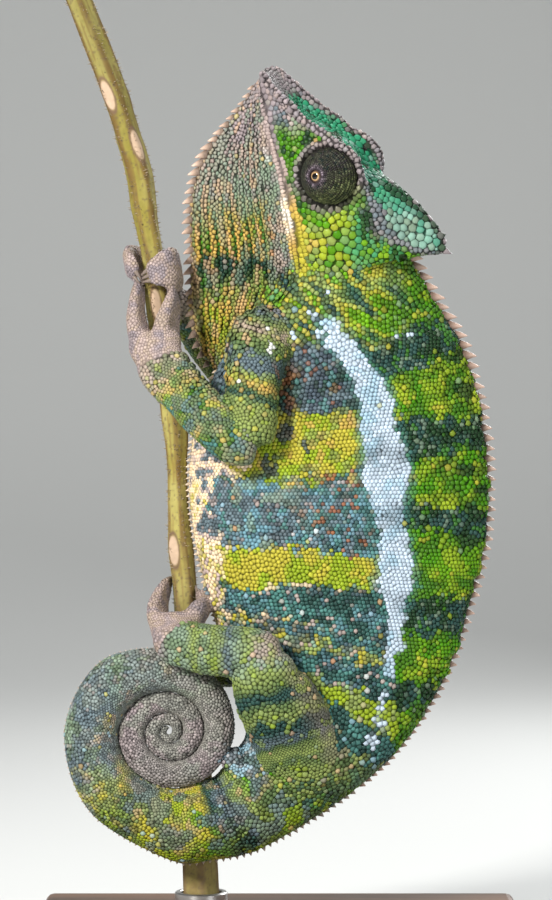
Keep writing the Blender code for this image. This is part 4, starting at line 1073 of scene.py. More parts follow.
# %% Thin and spread the scales
def thinned(spots, sizes, closeness):
    """Indices kept, in order of preference: centres stay closeness x (mean of two sizes) apart."""
    finder = find_tree(spots)
    alive = np.ones(len(spots), bool)
    kept = []
    sizes_list = sizes.tolist()
    common = max(float(np.quantile(sizes, 0.98)), 1.1)
    for number, point in enumerate(spots.tolist()):
        if not alive[number]:
            continue
        kept.append(number)
        own = sizes_list[number]
        for _, other, distance in finder.find_range(point, closeness * (own + common) / 2):
            if other > number and distance < closeness * (own + sizes_list[other]) / 2:
                alive[other] = False
    return np.array(kept)


def neighbours(spots, count):
    """Indices of the nearest other places, a row of `count` for each."""
    finder = find_tree(spots)
    return np.array([[found[1] for found in finder.find_n(point, count + 1)][1:] for point in spots.tolist()])


def spread_out(spots, ways, sizes, fixed, rounds=7):
    """Even out the gaps: neighbours push each other apart along the skin, then drop back to it.

    shift = sum over neighbours of  (1.3 x mean size - distance), where positive, x 0.16, along the gap.
    """
    for _ in range(rounds):
        near_by = neighbours(spots, 7)
        gap = spots[:, None] - spots[near_by]
        distance = np.maximum(np.linalg.norm(gap, axis=2), 1e-6)
        same_side = np.einsum("nkj,nj->nk", ways[near_by], ways) > 0.2
        push = np.maximum(0.65 * (sizes[:, None] + sizes[near_by]) - distance, 0.0) * same_side
        shift = 0.16 * np.einsum("nk,nkj->nj", push / distance, gap)
        shift -= ways * np.einsum("nj,nj->n", shift, ways)[:, None]
        longest = 0.2 * sizes / np.maximum(np.linalg.norm(shift, axis=1), 1e-9)
        shift *= np.minimum(longest, 1.0)[:, None] * ~fixed[:, None]
        landed, facing, _ = drop_to_skin(spots + shift, 2.6)
        same_way = np.einsum("nj,nj->n", facing, ways) > 0.2
        spots = np.where(same_way[:, None], landed, spots)
        ways = np.where(same_way[:, None], facing, ways)
    return spots, ways


def clear_of_openings(spots):
    """True for places that leave the mouth line and the eyes free; the crown's may come nearer an eye."""
    clear = mouth_distance(spots) > 0.42
    on_crown = np.abs(head_frame(spots)[2]) < 6.2
    for centre in eye_centres:
        clear &= (np.linalg.norm(spots - centre, axis=1) > EYE_RADIUS + 0.15) | on_crown
    return clear


good &= clear_of_openings(spot)
wanted, spot, out_way = wanted[good], spot[good], out_way[good]
keep = thinned(spot, wanted[:, 3], 0.85)
spot, out_way = spot[keep], unit(out_way[keep])
size, style = wanted[keep, 3], wanted[keep, 4].astype(int)
spot, out_way = spread_out(spot, out_way, size, style == SHIELD)
keep = clear_of_openings(spot)
spot, out_way, size, style = spot[keep], out_way[keep], size[keep], style[keep]
home = np.array([near.find(point)[1] for point in spot.tolist()])
kind, along, around = kinds[home], places[home, 4], places[home, 5]
print("scales:", len(spot), "by style:", np.bincount(style))

# %% [markdown]
# ## Markings
#
# The colours are worked out once, as a function of place, and used for both the scales and the skin
# between them, so they always agree. Flank marks are drawn on the side view: bands across the
# back, a pale stripe down the middle of the flank, patches in front of it. Edges are made ragged by
# moving the place a little with noise before looking it up. Single scales then differ by luck: a few
# are white, gold or rusty beads.

# %% Palette and lookup helpers
INK = {
    "green": (0.060, 0.220, 0.004), "leaf": (0.115, 0.285, 0.007), "lime": (0.25, 0.34, 0.018),
    "nape": (0.050, 0.14, 0.012), "moss": (0.085, 0.135, 0.05), "fern": (0.22, 0.28, 0.08),
    "olive": (0.19, 0.23, 0.07), "sage": (0.20, 0.27, 0.19), "emerald": (0.030, 0.26, 0.13),
    "jade": (0.10, 0.32, 0.22), "mint": (0.26, 0.45, 0.36), "sea": (0.062, 0.175, 0.155),
    "deep": (0.026, 0.068, 0.058), "dark": (0.016, 0.044, 0.017), "ink": (0.055, 0.075, 0.095),
    "slate": (0.105, 0.145, 0.165), "steel": (0.13, 0.16, 0.18), "blue": (0.12, 0.24, 0.29),
    "ice": (0.29, 0.45, 0.55), "pale": (0.46, 0.55, 0.64), "white": (0.76, 0.76, 0.74),
    "fog": (0.175, 0.21, 0.20), "ash": (0.215, 0.22, 0.195), "grey": (0.22, 0.22, 0.20),
    "lilac": (0.36, 0.37, 0.38), "mauve": (0.27, 0.225, 0.235), "plum": (0.10, 0.075, 0.095),
    "haze": (0.22, 0.17, 0.21), "lid": (0.050, 0.052, 0.036), "rosy": (0.40, 0.31, 0.28),
    "tan": (0.36, 0.28, 0.22), "peach": (0.55, 0.35, 0.20), "cream": (0.68, 0.53, 0.35),
    "lemon": (0.42, 0.37, 0.040), "straw": (0.40, 0.31, 0.09), "gold": (0.52, 0.33, 0.08),
    "orange": (0.50, 0.20, 0.05), "rust": (0.26, 0.085, 0.03),
}


VIEWER_AWAY = 700.0             # the camera's distance, and where it aims, in millimetres
AIM_X, AIM_Z = -1.0, 123.6


def side_view(points):
    """X and Z as the camera sees them: nearer parts look slightly further out."""
    widen = VIEWER_AWAY / (VIEWER_AWAY - np.abs(points[:, 1]))
    return AIM_X + (points[:, 0] - AIM_X) * widen, AIM_Z + (points[:, 2] - AIM_Z) * widen


def banded(position, stops):
    """Colour along a list of (position, ink) stops, blended in between."""
    stops = sorted(stops)
    at = np.array([stop[0] for stop in stops], float)
    inks = np.array([INK[stop[1]] for stop in stops])
    return np.stack([np.interp(position, at, inks[:, k]) for k in range(3)], axis=1)


def tinted(points, name):
    """One ink for every point."""
    return np.tile(INK[name], (len(points), 1))


def some(luck, low, high):
    """1 for scales whose luck falls between two numbers."""
    return ((luck >= low) & (luck < high)).astype(float)


def wander(points, size, seed, reach):
    """A smooth random shift between -reach and reach."""
    return (noise(points, size, seed) - 0.5) * 2 * reach


def layered(x, z, columns, layers, soft, choose):
    """Colour from layers listed top to bottom: (height of the top edge at each column, two inks).

    Below each edge the layer's colour takes over; `choose` from 0 to 1 picks between its two inks.
    """
    colour = np.zeros((len(x), 3))
    for number, (edge, first, second) in enumerate(layers):
        blend = step(0.42, 0.62, choose)[:, None]
        ink = np.array(INK[first]) * (1 - blend) + np.array(INK[second]) * blend
        colour = mix(colour, ink, step(soft, -soft, z - np.interp(x, columns, edge))) if number else ink
    return colour


# %% [markdown]
# The flank has a pale stripe down its middle. In front of it lie uneven patches of slate, teal and
# yellow, and behind it green and dark bands cross the back. Both sides are lists of layers from top
# to bottom, each with the height of its upper edge at a few columns. The tail has stops along its
# length instead. Patches of a few scales each, from noise cut off at a level, go over all of them.

# %% Tables of flank, back and tail
STRIPE_FRONT = [(84, 25.6), (89.7, 24.3), (94.3, 23.7), (100, 23.1), (105.8, 23.7), (110.4, 22),
                (114.5, 20.5), (120.2, 19.7), (124.8, 20.3), (128.9, 19.7), (134.6, 19.1), (140.4, 17.4),
                (146.2, 13.9), (150.8, 10.5), (154.2, 8.2)]
STRIPE_BACK = [(84, 29.2), (88.6, 30), (91.4, 31.8), (98.4, 32.1), (103, 31.2), (107, 29.5), (111.6, 30.6),
               (117.4, 30.6), (123.1, 29.5), (128.9, 28), (134.6, 26.6), (139.8, 24.3), (143.9, 21.4),
               (149, 18.5), (153.6, 13.9)]
FRONT_AT = (-20, -8, 4, 14, 24)
FRONT_LAYERS = [
    (None, "olive", "deep"),
    ((158, 157, 156, 156, 156), "slate", "olive"),
    ((152, 151, 150, 149, 148), "ink", "slate"),
    ((128, 130, 134, 131.6, 133), "lemon", "lime"),
    ((117, 117.4, 115.0, 116.2, 122), "slate", "blue"),
    ((99.3, 99.9, 100.7, 98.8, 98.5), "lemon", "lime"),
    ((92.6, 90.8, 90.5, 90.4, 90.4), "sea", "deep"),
    ((87.5, 84.8, 82.0, 79.6, 77.6), "cream", "lemon"),
    ((84.0, 82.2, 81.6, 79.6, 77.6), "deep", "sea"),
    ((81.8, 80.8, 79.0, 76.9, 74.7), "lemon", "fern"),
    ((79.2, 78.4, 76.3, 73.7, 71.7), "deep", "sea"),
    ((74.0, 73.0, 71.5, 67.4, 63.0), "lime", "fern"),
    ((70.0, 69.0, 68.0, 62.3, 55.0), "sea", "deep"),
    ((54.0, 53.0, 52.0, 50.0, 48.0), "moss", "olive"),
]
BACK_AT = (24, 34, 44, 52)
BACK_LAYERS = [
    (None, "nape", "green"),
    ((150.5, 153.0, 158.0, 160.0), "deep", "dark"),
    ((139.0, 143.5, 148.5, 150.0), "green", "lime"),
    ((130.5, 131.0, 131.3, 131.5), "dark", "deep"),
    ((118.5, 120.8, 123.8, 124.0), "green", "lime"),
    ((111.5, 110.8, 109.8, 108.4), "deep", "dark"),
    ((105.5, 104.6, 103.5, 102.9), "green", "leaf"),
    ((89.0, 88.3, 87.5, 87.0), "dark", "deep"),
    ((80.5, 79.6, 78.0, 77.0), "green", "leaf"),
    ((66.5, 68.3, 70.0, 71.0), "dark", "deep"),
    ((59.0, 62.8, 65.0, 66.0), "green", "nape"),
    ((48.0, 51.0, 53.0, 54.0), "dark", "moss"),
]
TAIL_STOPS = [(17.4, "sea", "moss"), (18.2, "moss", "green"), (18.9, "deep", "moss"),
              (19.6, "leaf", "moss"), (20.3, "olive", "fern"), (20.9, "slate", "deep"),
              (21.5, "deep", "moss"), (22.0, "lemon", "leaf"), (22.7, "lime", "straw"),
              (23.3, "lemon", "olive"), (23.7, "deep", "moss"), (24.1, "lemon", "olive"),
              (24.5, "slate", "sage"), (25.0, "fog", "sage"), (25.5, "slate", "fog"),
              (26.1, "sage", "fog"), (26.7, "grey", "fog"), (27.4, "grey", "sage"),
              (28.2, "ash", "grey"), (30.0, "ash", "mauve"), (33.0, "mauve", "ash"),
              (LAST_ROW, "ash", "ash")]
BELLY_EDGE = np.array(BODY)[4:20][:, [5, 3]][::-1]      # Z and X of the belly's edge


# %% Flecks and dots
def flecks(points, size, seed, share):
    """1 inside small patches that cover about this share of the skin."""
    level = np.interp(share, [0.0, 0.05, 0.10, 0.15, 0.20, 0.30, 0.50, 0.70, 1.0],
                      [1.0, 0.807, 0.747, 0.702, 0.666, 0.605, 0.50, 0.396, 0.0])
    return step(level - 0.03, level + 0.03, noise(points, size, seed))


def flecked(colour, points, rows):
    """Lay flecks of ink over a colour, a row at a time: (ink, where, size, seed, share, strengths...)."""
    for ink, mask, size, seed, share, *strengths in rows:
        mask = mask * flecks(points, size, seed, share)
        for strength in strengths:
            mask = mask * strength
        colour = mix(colour, INK[ink], mask)
    return colour


def dots(x, z, listed):
    """1 on each listed spot: (x, z, radius)."""
    found = np.zeros(len(x))
    for spot_x, spot_z, spot_size in listed:
        away = np.hypot(x - spot_x, z - spot_z) / spot_size
        found = np.maximum(found, 1 - step(0.85, 1.15, away))
    return found


# %% Body paint
def body_paint(points, along, around):
    """Bands, stripe and patches of the flank; from the thigh back, the tail's own bands."""
    flat_x, flat_z = side_view(points)
    x = flat_x + wander(points, 3.0, 11, 1.0) + wander(points, 1.1, 17, 0.9)
    z = flat_z + wander(points, 3.4, 12, 1.4) + wander(points, 1.1, 15, 1.5)
    blot = 0.60 * noise(points, 3.6, 14) + 0.40 * noise(points, 1.5, 18)
    front_edge = np.interp(z, *np.array(STRIPE_FRONT).T)
    back_edge = np.interp(z, *np.array(STRIPE_BACK).T)
    dorsal = step(-0.5, 0.5, x - np.where(z > 84, back_edge, 27.5))
    front = layered(x, z, FRONT_AT, FRONT_LAYERS, 0.35, blot)
    back = layered(x, z, BACK_AT, BACK_LAYERS, 0.45, blot)

    # neck: green behind, olive, gold and slate streaks toward the shoulder
    neck = step(148.0, 154.0, z - 0.10 * x)
    slanted = np.column_stack([(points[:, 0] + 1.2 * points[:, 2]) / 2.2, points[:, 1] / 6,
                               (points[:, 2] - 0.8 * points[:, 0]) / 7])
    streak = noise(slanted, 1.0, 24)
    shoulder = banded(streak, [(0.24, "slate"), (0.36, "moss"), (0.48, "fern"), (0.58, "straw"),
                               (0.66, "green"), (0.74, "sage")])
    front = mix(front, shoulder, neck)

    # patches of a few scales, each kind in its own stretch of the flank
    on_ink, on_lemon = band(z, 131, 152, 0.5), band(z, 116, 133, 0.5)
    on_slate, on_teal = band(z, 99, 118, 0.5), band(z, 66, 91, 0.5)
    right = step(-4, 14, x)
    front = flecked(front, points, [
        ("sea", on_ink, 1.5, 40, 0.22, 0.6), ("rust", on_ink, 1.4, 41, 0.14, 0.6),
        ("dark", on_ink, 1.6, 42, 0.25, 0.6), ("rosy", on_slate, 1.4, 43, 0.12, 0.6),
        ("deep", on_slate, 1.8, 39, 0.35, right, 0.8), ("sea", on_slate, 1.2, 44, 0.10 + 0.15 * right, 0.8),
        ("sage", on_slate, 3.5, 45, 0.25, 1 - right, 0.6), ("rust", on_slate, 1.0, 46, 0.12, right, 0.8),
        ("blue", on_teal, 2.0, 47, 0.25, 0.5), ("ink", on_teal, 2.2, 48, 0.22, 0.6),
        ("rosy", on_teal, 1.0, 49, 0.08, 0.8), ("gold", on_lemon, 2.4, 50, 0.18, 0.7),
        ("olive", on_lemon, 2.6, 51, 0.28, 0.6)])
    front = mix(front, INK["ink"], dots(x, z, [(1.5, 128.6, 2.0), (-2.2, 119.8, 2.0), (-15.5, 121.2, 1.3),
                                               (6.5, 124.0, 1.0)]) * 0.85)

    # green back: yellow-green on the lumps, partly its own colour and partly painted light on their tops;
    # painted shade in the hollows and creases
    crease_shade = back_creases(points) * step(34, 42, x)
    hills = lumps(points)
    green_here = step(0.14, 0.24, back[:, 1])
    back = flecked(back, points, [("lime", green_here * hills, 4.5, 52, 0.45, 0.75),
                                  ("lemon", green_here * hills, 1.5, 53, 0.10, 0.7)])
    # painted shade: a darker green in the hollows between the lumps
    back = mix(back, INK["nape"], green_here * (1 - hills) * 0.75)
    back = flecked(back, points, [("green", 1 - green_here, 1.5, 54, 0.20, 0.55),
                                  ("sage", 1 - green_here, 1.1, 55, 0.10, 0.5)])
    back = mix(back, INK["dark"], 0.85 * crease_shade)
    colour = mix(front, back, dorsal)
    nape_ink = banded(streak, [(0.26, "deep"), (0.40, "moss"), (0.52, "fern"), (0.60, "lemon"),
                               (0.68, "leaf")])
    on_nape = 0.85 * band(z, 150, 178, 3.0) * (1 - step(22, 35, x + 8 * (streak - 0.5)))
    colour = mix(colour, nape_ink, on_nape)

    # pale stripe with a blue fringe, greyer where dark bands cross it
    between = step(-0.35, 0.35, x - front_edge) * (1 - step(-0.35, 0.35, x - back_edge))
    inside = between * band(z, 85, 154.6, 0.8)
    narrow = band(z, 69, 86, 0.6) * band(x, 25.6, 26.6 + 3.0 * step(66, 80, z), 0.35)
    stripe = np.clip(inside + narrow, 0, 1)
    fringe = np.clip(bump(x, front_edge - 0.6, 0.9) + bump(x, back_edge + 0.5, 0.9), 0, 1)
    fringe = fringe * band(z, 85, 154, 1)
    crossing = np.clip(bump(z, 122.3, 2.6) + bump(z, 107.6, 1.8) + 0.7 * bump(z, 88, 2.0), 0, 1)
    pale = mix(tinted(points, "pale"), INK["ice"], step(0.45, 0.70, blot) * 0.8)
    pale = mix(pale, INK["slate"], 0.60 * crossing * step(0.30, 0.60, blot + 0.10))
    colour = mix(colour, INK["sea"], 0.65 * fringe)
    colour = mix(colour, pale, stripe)
    colour = mix(colour, INK["pale"], dots(x, z, [
        (11, 160.6, 1.0), (7.6, 156.5, 0.9), (28.2, 150.4, 0.8), (29.8, 150.8, 0.8), (31.4, 151.0, 0.6),
        (24.6, 64.6, 1.1), (24.2, 61.6, 1.5), (23.3, 58.2, 1.5), (22.2, 54.0, 1.3), (21.6, 51.4, 1.0),
        (3.0, 151.5, 0.6)]))
    dash = band(z + 0.05 * x, 90.2, 91.2, 0.3) * band(x, -8, 21, 1.0) * flecks(points, 1.6, 26, 0.45)
    colour = mix(colour, INK["cream"], 0.75 * dash)

    # cream belly, wider below the elbow
    from_belly = x - np.interp(z, BELLY_EDGE[:, 0], BELLY_EDGE[:, 1])
    width = np.interp(z, [66, 78, 92, 99, 110, 116, 118, 127, 129, 140],
                      [0, 1.5, 4.0, 6.0, 4.5, 7.0, 14.0, 16.0, 5, 0])
    cream = step(0.6, -0.6, from_belly - width + wander(points, 2.4, 27, 2.6))
    belly_ink = banded(blot, [(0.28, "slate"), (0.36, "rosy"), (0.44, "cream"), (0.58, "cream"),
                              (0.65, "lemon"), (0.72, "rosy")]) * 1.18
    colour = mix(colour, belly_ink, cream * band(z, 68, 128.5, 1.0))

    # tail: two rows of stops, picked between by noise, greyer on the coil's inner side
    row = body_row(along)
    ring = row + 0.25 * wander(points, 4.0, 16, 1.0) + 0.14 * wander(points, 1.3, 28, 1.0)
    choose = step(0.42, 0.58, blot)[:, None]
    tail = (banded(ring, [(at, first) for at, first, _ in TAIL_STOPS]) * (1 - choose)
            + banded(ring, [(at, second) for at, _, second in TAIL_STOPS]) * choose)
    mottled = band(row, 18.5, 27.0, 0.6)
    outer_side = step(0.28, 0.10, np.abs(np.minimum(around, 1 - around)))
    after_hip = step(23.5, 24.2, row)
    tail = flecked(tail, points, [
        ("lime", mottled, 2.2, 56, 0.30, 1 - step(23.8, 24.4, row), outer_side, 0.8),
        ("peach", mottled, 2.4, 57, 0.14, 1 - outer_side, 0.5), ("slate", mottled, 3.0, 58, 0.28, 0.7),
        ("rosy", after_hip, 1.3, 59, 0.10, 1 - step(26.4, 27.2, row), 0.35),
        ("moss", mottled, 2.4, 60, 0.20, 0.5)])
    inner = bump(around, 0.5, 0.16) * step(22.5, 24.5, row)
    tail = mix(tail, INK["ash"], 0.65 * inner)
    tail = mix(tail, INK["rosy"], 0.22 * step(26.8, 28.0, row) * noise(points, 3.0, 63))
    return mix(colour, tail, step(17.2, 18.4, row + 0.5 * wander(points, 3.0, 29, 1.0)))


# %% [markdown]
# Limbs are green with bands of slate and olive across them, and hands and feet are mauve and tan. The
# upper and lower part of each limb take different rules, picked by the part's name.

# %% Limbs, hands and feet
KNEE_PATCH = [(-3.7, 76.6, 3.4)]


def limb_paint(points, kind_names, along):
    """Bands of slate and olive over green limbs, gold beads on the forearm, mauve hands and feet."""
    x, z = side_view(points)
    x = x + wander(points, 2.6, 20, 0.9)
    z = z + wander(points, 2.4, 21, 1.2)
    blot = 0.55 * noise(points, 3.2, 22) + 0.45 * noise(points, 1.4, 23)
    part = np.array([name.split("_")[0] for name in kind_names])
    upper = np.array([name.endswith("upper") for name in kind_names])
    arm, leg = (part == "arm").astype(float), (part == "leg").astype(float)
    grip = 1 - arm - leg
    arm_high = banded(z + 0.35 * x + 3.0 * (blot - 0.5), [
        (116, "ash"), (120, "moss"), (126, "fern"), (129.5, "olive"), (131.5, "fern"), (133.6, "deep"),
        (135.5, "moss"), (137.2, "gold"), (139, "fern"), (141, "slate"), (144, "slate"), (146, "moss"),
        (149, "olive"), (151, "tan"), (153, "olive"), (156, "slate"), (158, "mauve"), (162, "moss")])
    arm_low = banded(blot, [(0.32, "sea"), (0.40, "moss"), (0.47, "nape"), (0.54, "fern"), (0.61, "olive"),
                            (0.70, "straw")])
    arm_low = mix(arm_low, INK["ash"], 0.40 * flecks(points, 3.0, 64, 0.4))
    arm_low = mix(arm_low, INK["rosy"], 0.80 * step(0.74, 0.94, along + 0.25 * (blot - 0.5)))
    arm_low = mix(arm_low, INK["ash"], 0.65 * (1 - step(0.05, 0.30, along)))
    leg_high = banded(z - 0.25 * x + 2.4 * (blot - 0.5), [
        (44, "fern"), (48, "moss"), (50, "fern"), (52, "moss"), (53.5, "slate"), (56, "deep"), (58.0, "deep"),
        (59.5, "fern"), (62, "moss"), (63.6, "deep"), (65.6, "deep"), (67, "moss"), (70, "fern"),
        (73, "sage"), (77, "mauve"), (82, "mauve")])
    leg_high = mix(leg_high, INK["tan"], 0.35 * step(1.0, 6.0, x + 0.45 * (z - 66)))
    leg_high = mix(leg_high, INK["tan"], 0.6 * dots(x, z, KNEE_PATCH))
    shin = x + 2.0 * (blot - 0.5)
    leg_low = banded(shin, [(-29, "mauve"), (-26, "sage"), (-23, "sage"), (-20.5, "fern"), (-18, "sage"),
                            (-15.5, "fern"), (-13, "slate"), (-10.5, "sage"), (-8, "fern"), (-5, "sage"),
                            (-2.5, "mauve"), (2, "mauve")])
    leg_low = mix(leg_low, INK["moss"], flecks(points, 2.6, 65, 0.35) * 0.5)
    leg_low = mix(leg_low, INK["tan"], 0.6 * dots(x, z, KNEE_PATCH))
    skin_tone = banded(blot, [(0.32, "mauve"), (0.48, "rosy"), (0.60, "tan"), (0.70, "rosy")])
    colour = np.where(upper[:, None], arm_high, arm_low) * arm[:, None]
    colour = colour + np.where(upper[:, None], leg_high, leg_low) * leg[:, None] + skin_tone * grip[:, None]
    colour = flecked(colour, points, [
        ("moss", arm, 2.4, 66, 0.25, 0.6), ("lime", arm + leg, 2.2, 67, 0.10, 0.40),
        ("peach", arm, 2.0, 68, 0.14, upper, step(146, 150, z), 0.6)])
    near_side = points[:, 1] < 0
    return mix(colour, INK["white"], arm * near_side * dots(x, z, [
        (-2.6, 152.7, 0.45), (-2.4, 147.8, 0.75), (-2.8, 149.0, 0.45), (-10.3, 140.2, 0.4),
        (-9.4, 142.9, 0.35), (-10.8, 136.2, 0.35), (-27.6, 146.6, 0.5)]) * 0.8)


# %% [markdown]
# The head is painted in its own frame, by height above or below the crest and mouth lines: cheek and
# temple first, then casque, crown and crests over them, the rim of the eye, and the lips last. The
# throat's colours follow its pleats, with gold ridges over darker hollows.

# %% Head
def head_paint(points, luck):
    """Mauve crests, emerald crown, mint casque, green and yellow cheeks, yellow lips."""
    along, up, out = head_frame(points)
    along = along + wander(points, 1.6, 71, 0.5)
    up = up + wander(points, 1.6, 72, 0.5)
    blot = 0.55 * noise(points, 3.4, 31) + 0.45 * noise(points, 1.5, 32)
    wide = np.abs(out)
    crest = up - line_up(CREST, along)
    lip = up - line_up(MOUTH, along)
    up = up - 1.2
    rim_out = line_up(CREST, along, 2)
    choose = blot + 0.30 * (luck - 0.5)

    # cheek and temple, from the neck forward
    cheek = banded(choose, [(0.25, "green"), (0.40, "leaf"), (0.52, "fern"), (0.66, "lime"), (0.92, "lemon")])
    cheek = mix(cheek, banded(choose, [(0.30, "dark"), (0.45, "emerald"), (0.60, "green"), (0.75, "leaf")]),
                step(3.0, 9.0, up - 8 + 0.5 * (4 - along)) * step(13, 17, up + 0.5 * along) * 0.8)
    behind = band(crest, -4.6, -0.6, 0.8) * band(along, 3.5, 13, 2.0) * step(14, 16, up)
    dusk = banded(choose, [(0.30, "dark"), (0.42, "plum"), (0.52, "steel"), (0.60, "dark"), (0.68, "mauve"),
                           (0.76, "emerald")])
    cheek = mix(cheek, dusk, 0.9 * behind)
    fore = banded(choose, [(0.30, "dark"), (0.42, "nape"), (0.54, "green"), (0.64, "nape"), (0.78, "fern")])
    colour = mix(cheek, fore, step(11.0, 14.0, along))
    snout = banded(choose, [(0.30, "steel"), (0.45, "mauve"), (0.60, "rosy"), (0.74, "sage")])
    colour = mix(colour, snout, step(31.0, 36.0, along + 5 * (blot - 0.5) + 0.25 * (up - 5)))
    before_eye = [(27.6, 13.2, 1.3), (29.0, 11.6, 0.9), (26.4, 14.6, 0.8)]
    colour = mix(colour, INK["gold"], dots(along, up, before_eye) * 0.75)
    colour = mix(colour, INK["gold"], dots(along, up, [(5.4, 6.4, 1.1)]) * 0.7)
    colour = mix(colour, INK["white"], dots(along, up, [(22.0, 5.6, 0.7), (4.6, 10.4, 0.8)]) * 0.45)
    nape = 1 - step(-3.5, 0.5, along + 3 * (blot - 0.5))
    neck = banded(choose, [(0.30, "slate"), (0.42, "moss"), (0.52, "olive"), (0.60, "green"), (0.72, "gold")])
    colour = mix(colour, neck, nape * (1 - step(16, 22, up)))

    # casque plates, crown and the two crests
    casque = banded(choose, [(0.28, "jade"), (0.44, "mint"), (0.58, "sage"), (0.74, "mint")]) * 0.85
    casque = mix(casque, INK["emerald"], 0.8 * step(9.0, 13.0, along))
    on_casque = step(0.2, 1.0, crest) * (1 - step(15, 19, along))
    inside = rim_out - wide - np.where(out > 0, 0.9, 0.5) * np.clip(-crest - 0.6, 0, 3)
    edge = np.where(out > 0, 0.4, np.interp(along, [20, 30, 42], [0.6, 1.0, 1.8]))
    crown = step(-0.4, 0.4, inside - edge) * step(-4.6, -3.8, crest) * step(14, 16, along)
    crown_ink = banded(choose, [(0.30, "dark"), (0.40, "emerald"), (0.58, "emerald"), (0.72, "jade"),
                                (0.86, "mint")]) * 0.85
    crown_ink = mix(crown_ink, INK["mauve"], step(38.5, 41.5, along) * 0.9)
    colour = mix(colour, casque, on_casque)
    colour = mix(colour, crown_ink, crown)
    depth = np.interp(along, [-6, 4, 12, 18, 24, 34, 44], [1.8, 1.7, 1.2, 1.0, 1.2, 2.6, 4.2])
    ridge = step(-1.0, 0.4, crest + depth + 1.2 * (blot - 0.5)) * (1 - crown) * (1 - on_casque)
    ridge = np.maximum(ridge, band(crest, -depth, 0.8, 0.3) * step(15, 13, along)) * (1 - crown)
    tone = mix(tinted(points, "steel"), INK["mauve"], np.clip(step(14, 26, along) * 0.7 + 0.7 * luck, 0, 1))
    tone = mix(tone, INK["rosy"], 0.5 * flecks(points, 1.4, 73, 0.25) * step(20, 30, along))
    colour = mix(colour, tone, ridge * 0.95)
    # parietal crest: a dark band beside its midline is painted shade of the crest's sides, with a thin mauve
    # line of its own colour on top
    spine = (1 - step(15.5, 19, along)) * step(17, 20, up)
    crest_shade_width = np.interp(along, [1, 5, 10, 13, 17], [1.0, 1.3, 2.6, 3.6, 3.6])
    colour = mix(colour, INK["dark"], 0.9 * spine * step(0.5, -0.5, wide - crest_shade_width))
    colour = mix(colour, INK["mauve"], 0.9 * spine * step(0.7, 0.1, wide))

    # rim of skin round the eye, pinkish, with an olive corner below and painted shade on its lower part
    centre = np.where((out > 0)[:, None], eye_centres[0], eye_centres[1])
    from_eye = np.linalg.norm(points - centre, axis=1)
    away = points - centre
    rim = (1 - step(8.2, 9.2, from_eye + 0.8 * (blot - 0.5))) * step(0.6, -0.2, crest) * (1 - crown)
    rim_tone = mix(tinted(points, "mauve"), INK["rosy"], 0.4 * step(0, -6, away[:, 2]))
    rim_tone = mix(rim_tone, INK["olive"], 0.7 * step(1, 4, away[:, 0]) * step(-1, -4, away[:, 2]))
    # painted shade: the rim darker below the eye
    rim_tone = rim_tone * (1 - 0.55 * step(-2.5, -5.5, away[:, 2]))[:, None]
    colour = mix(colour, rim_tone, 0.9 * rim)
    shadow_side = step(3.0, -2.0, away[:, 0] + 0.8 * away[:, 2]) * (crest < -0.6) * (1 - crown)
    colour = mix(colour, np.array(INK["lid"]) * 0.5, 0.95 * shadow_side * (1 - step(7.5, 8.2, from_eye)))

    lips = banded(along, [(-4, "lime"), (0, "lemon"), (8, "lemon"), (15, "gold"), (19, "tan"), (24, "rosy"),
                          (32, "mauve"), (46, "mauve")])
    width = np.interp(along, [-3, 0, 4, 10, 16, 20, 46], [0.6, 2.2, 3.0, 2.6, 1.4, 1.0, 1.3])
    upper = step(0.25, -0.25, lip - width + 1.2 * (blot - 0.5)) * step(-3.2, -1.2, along)
    return mix(colour, lips, upper)


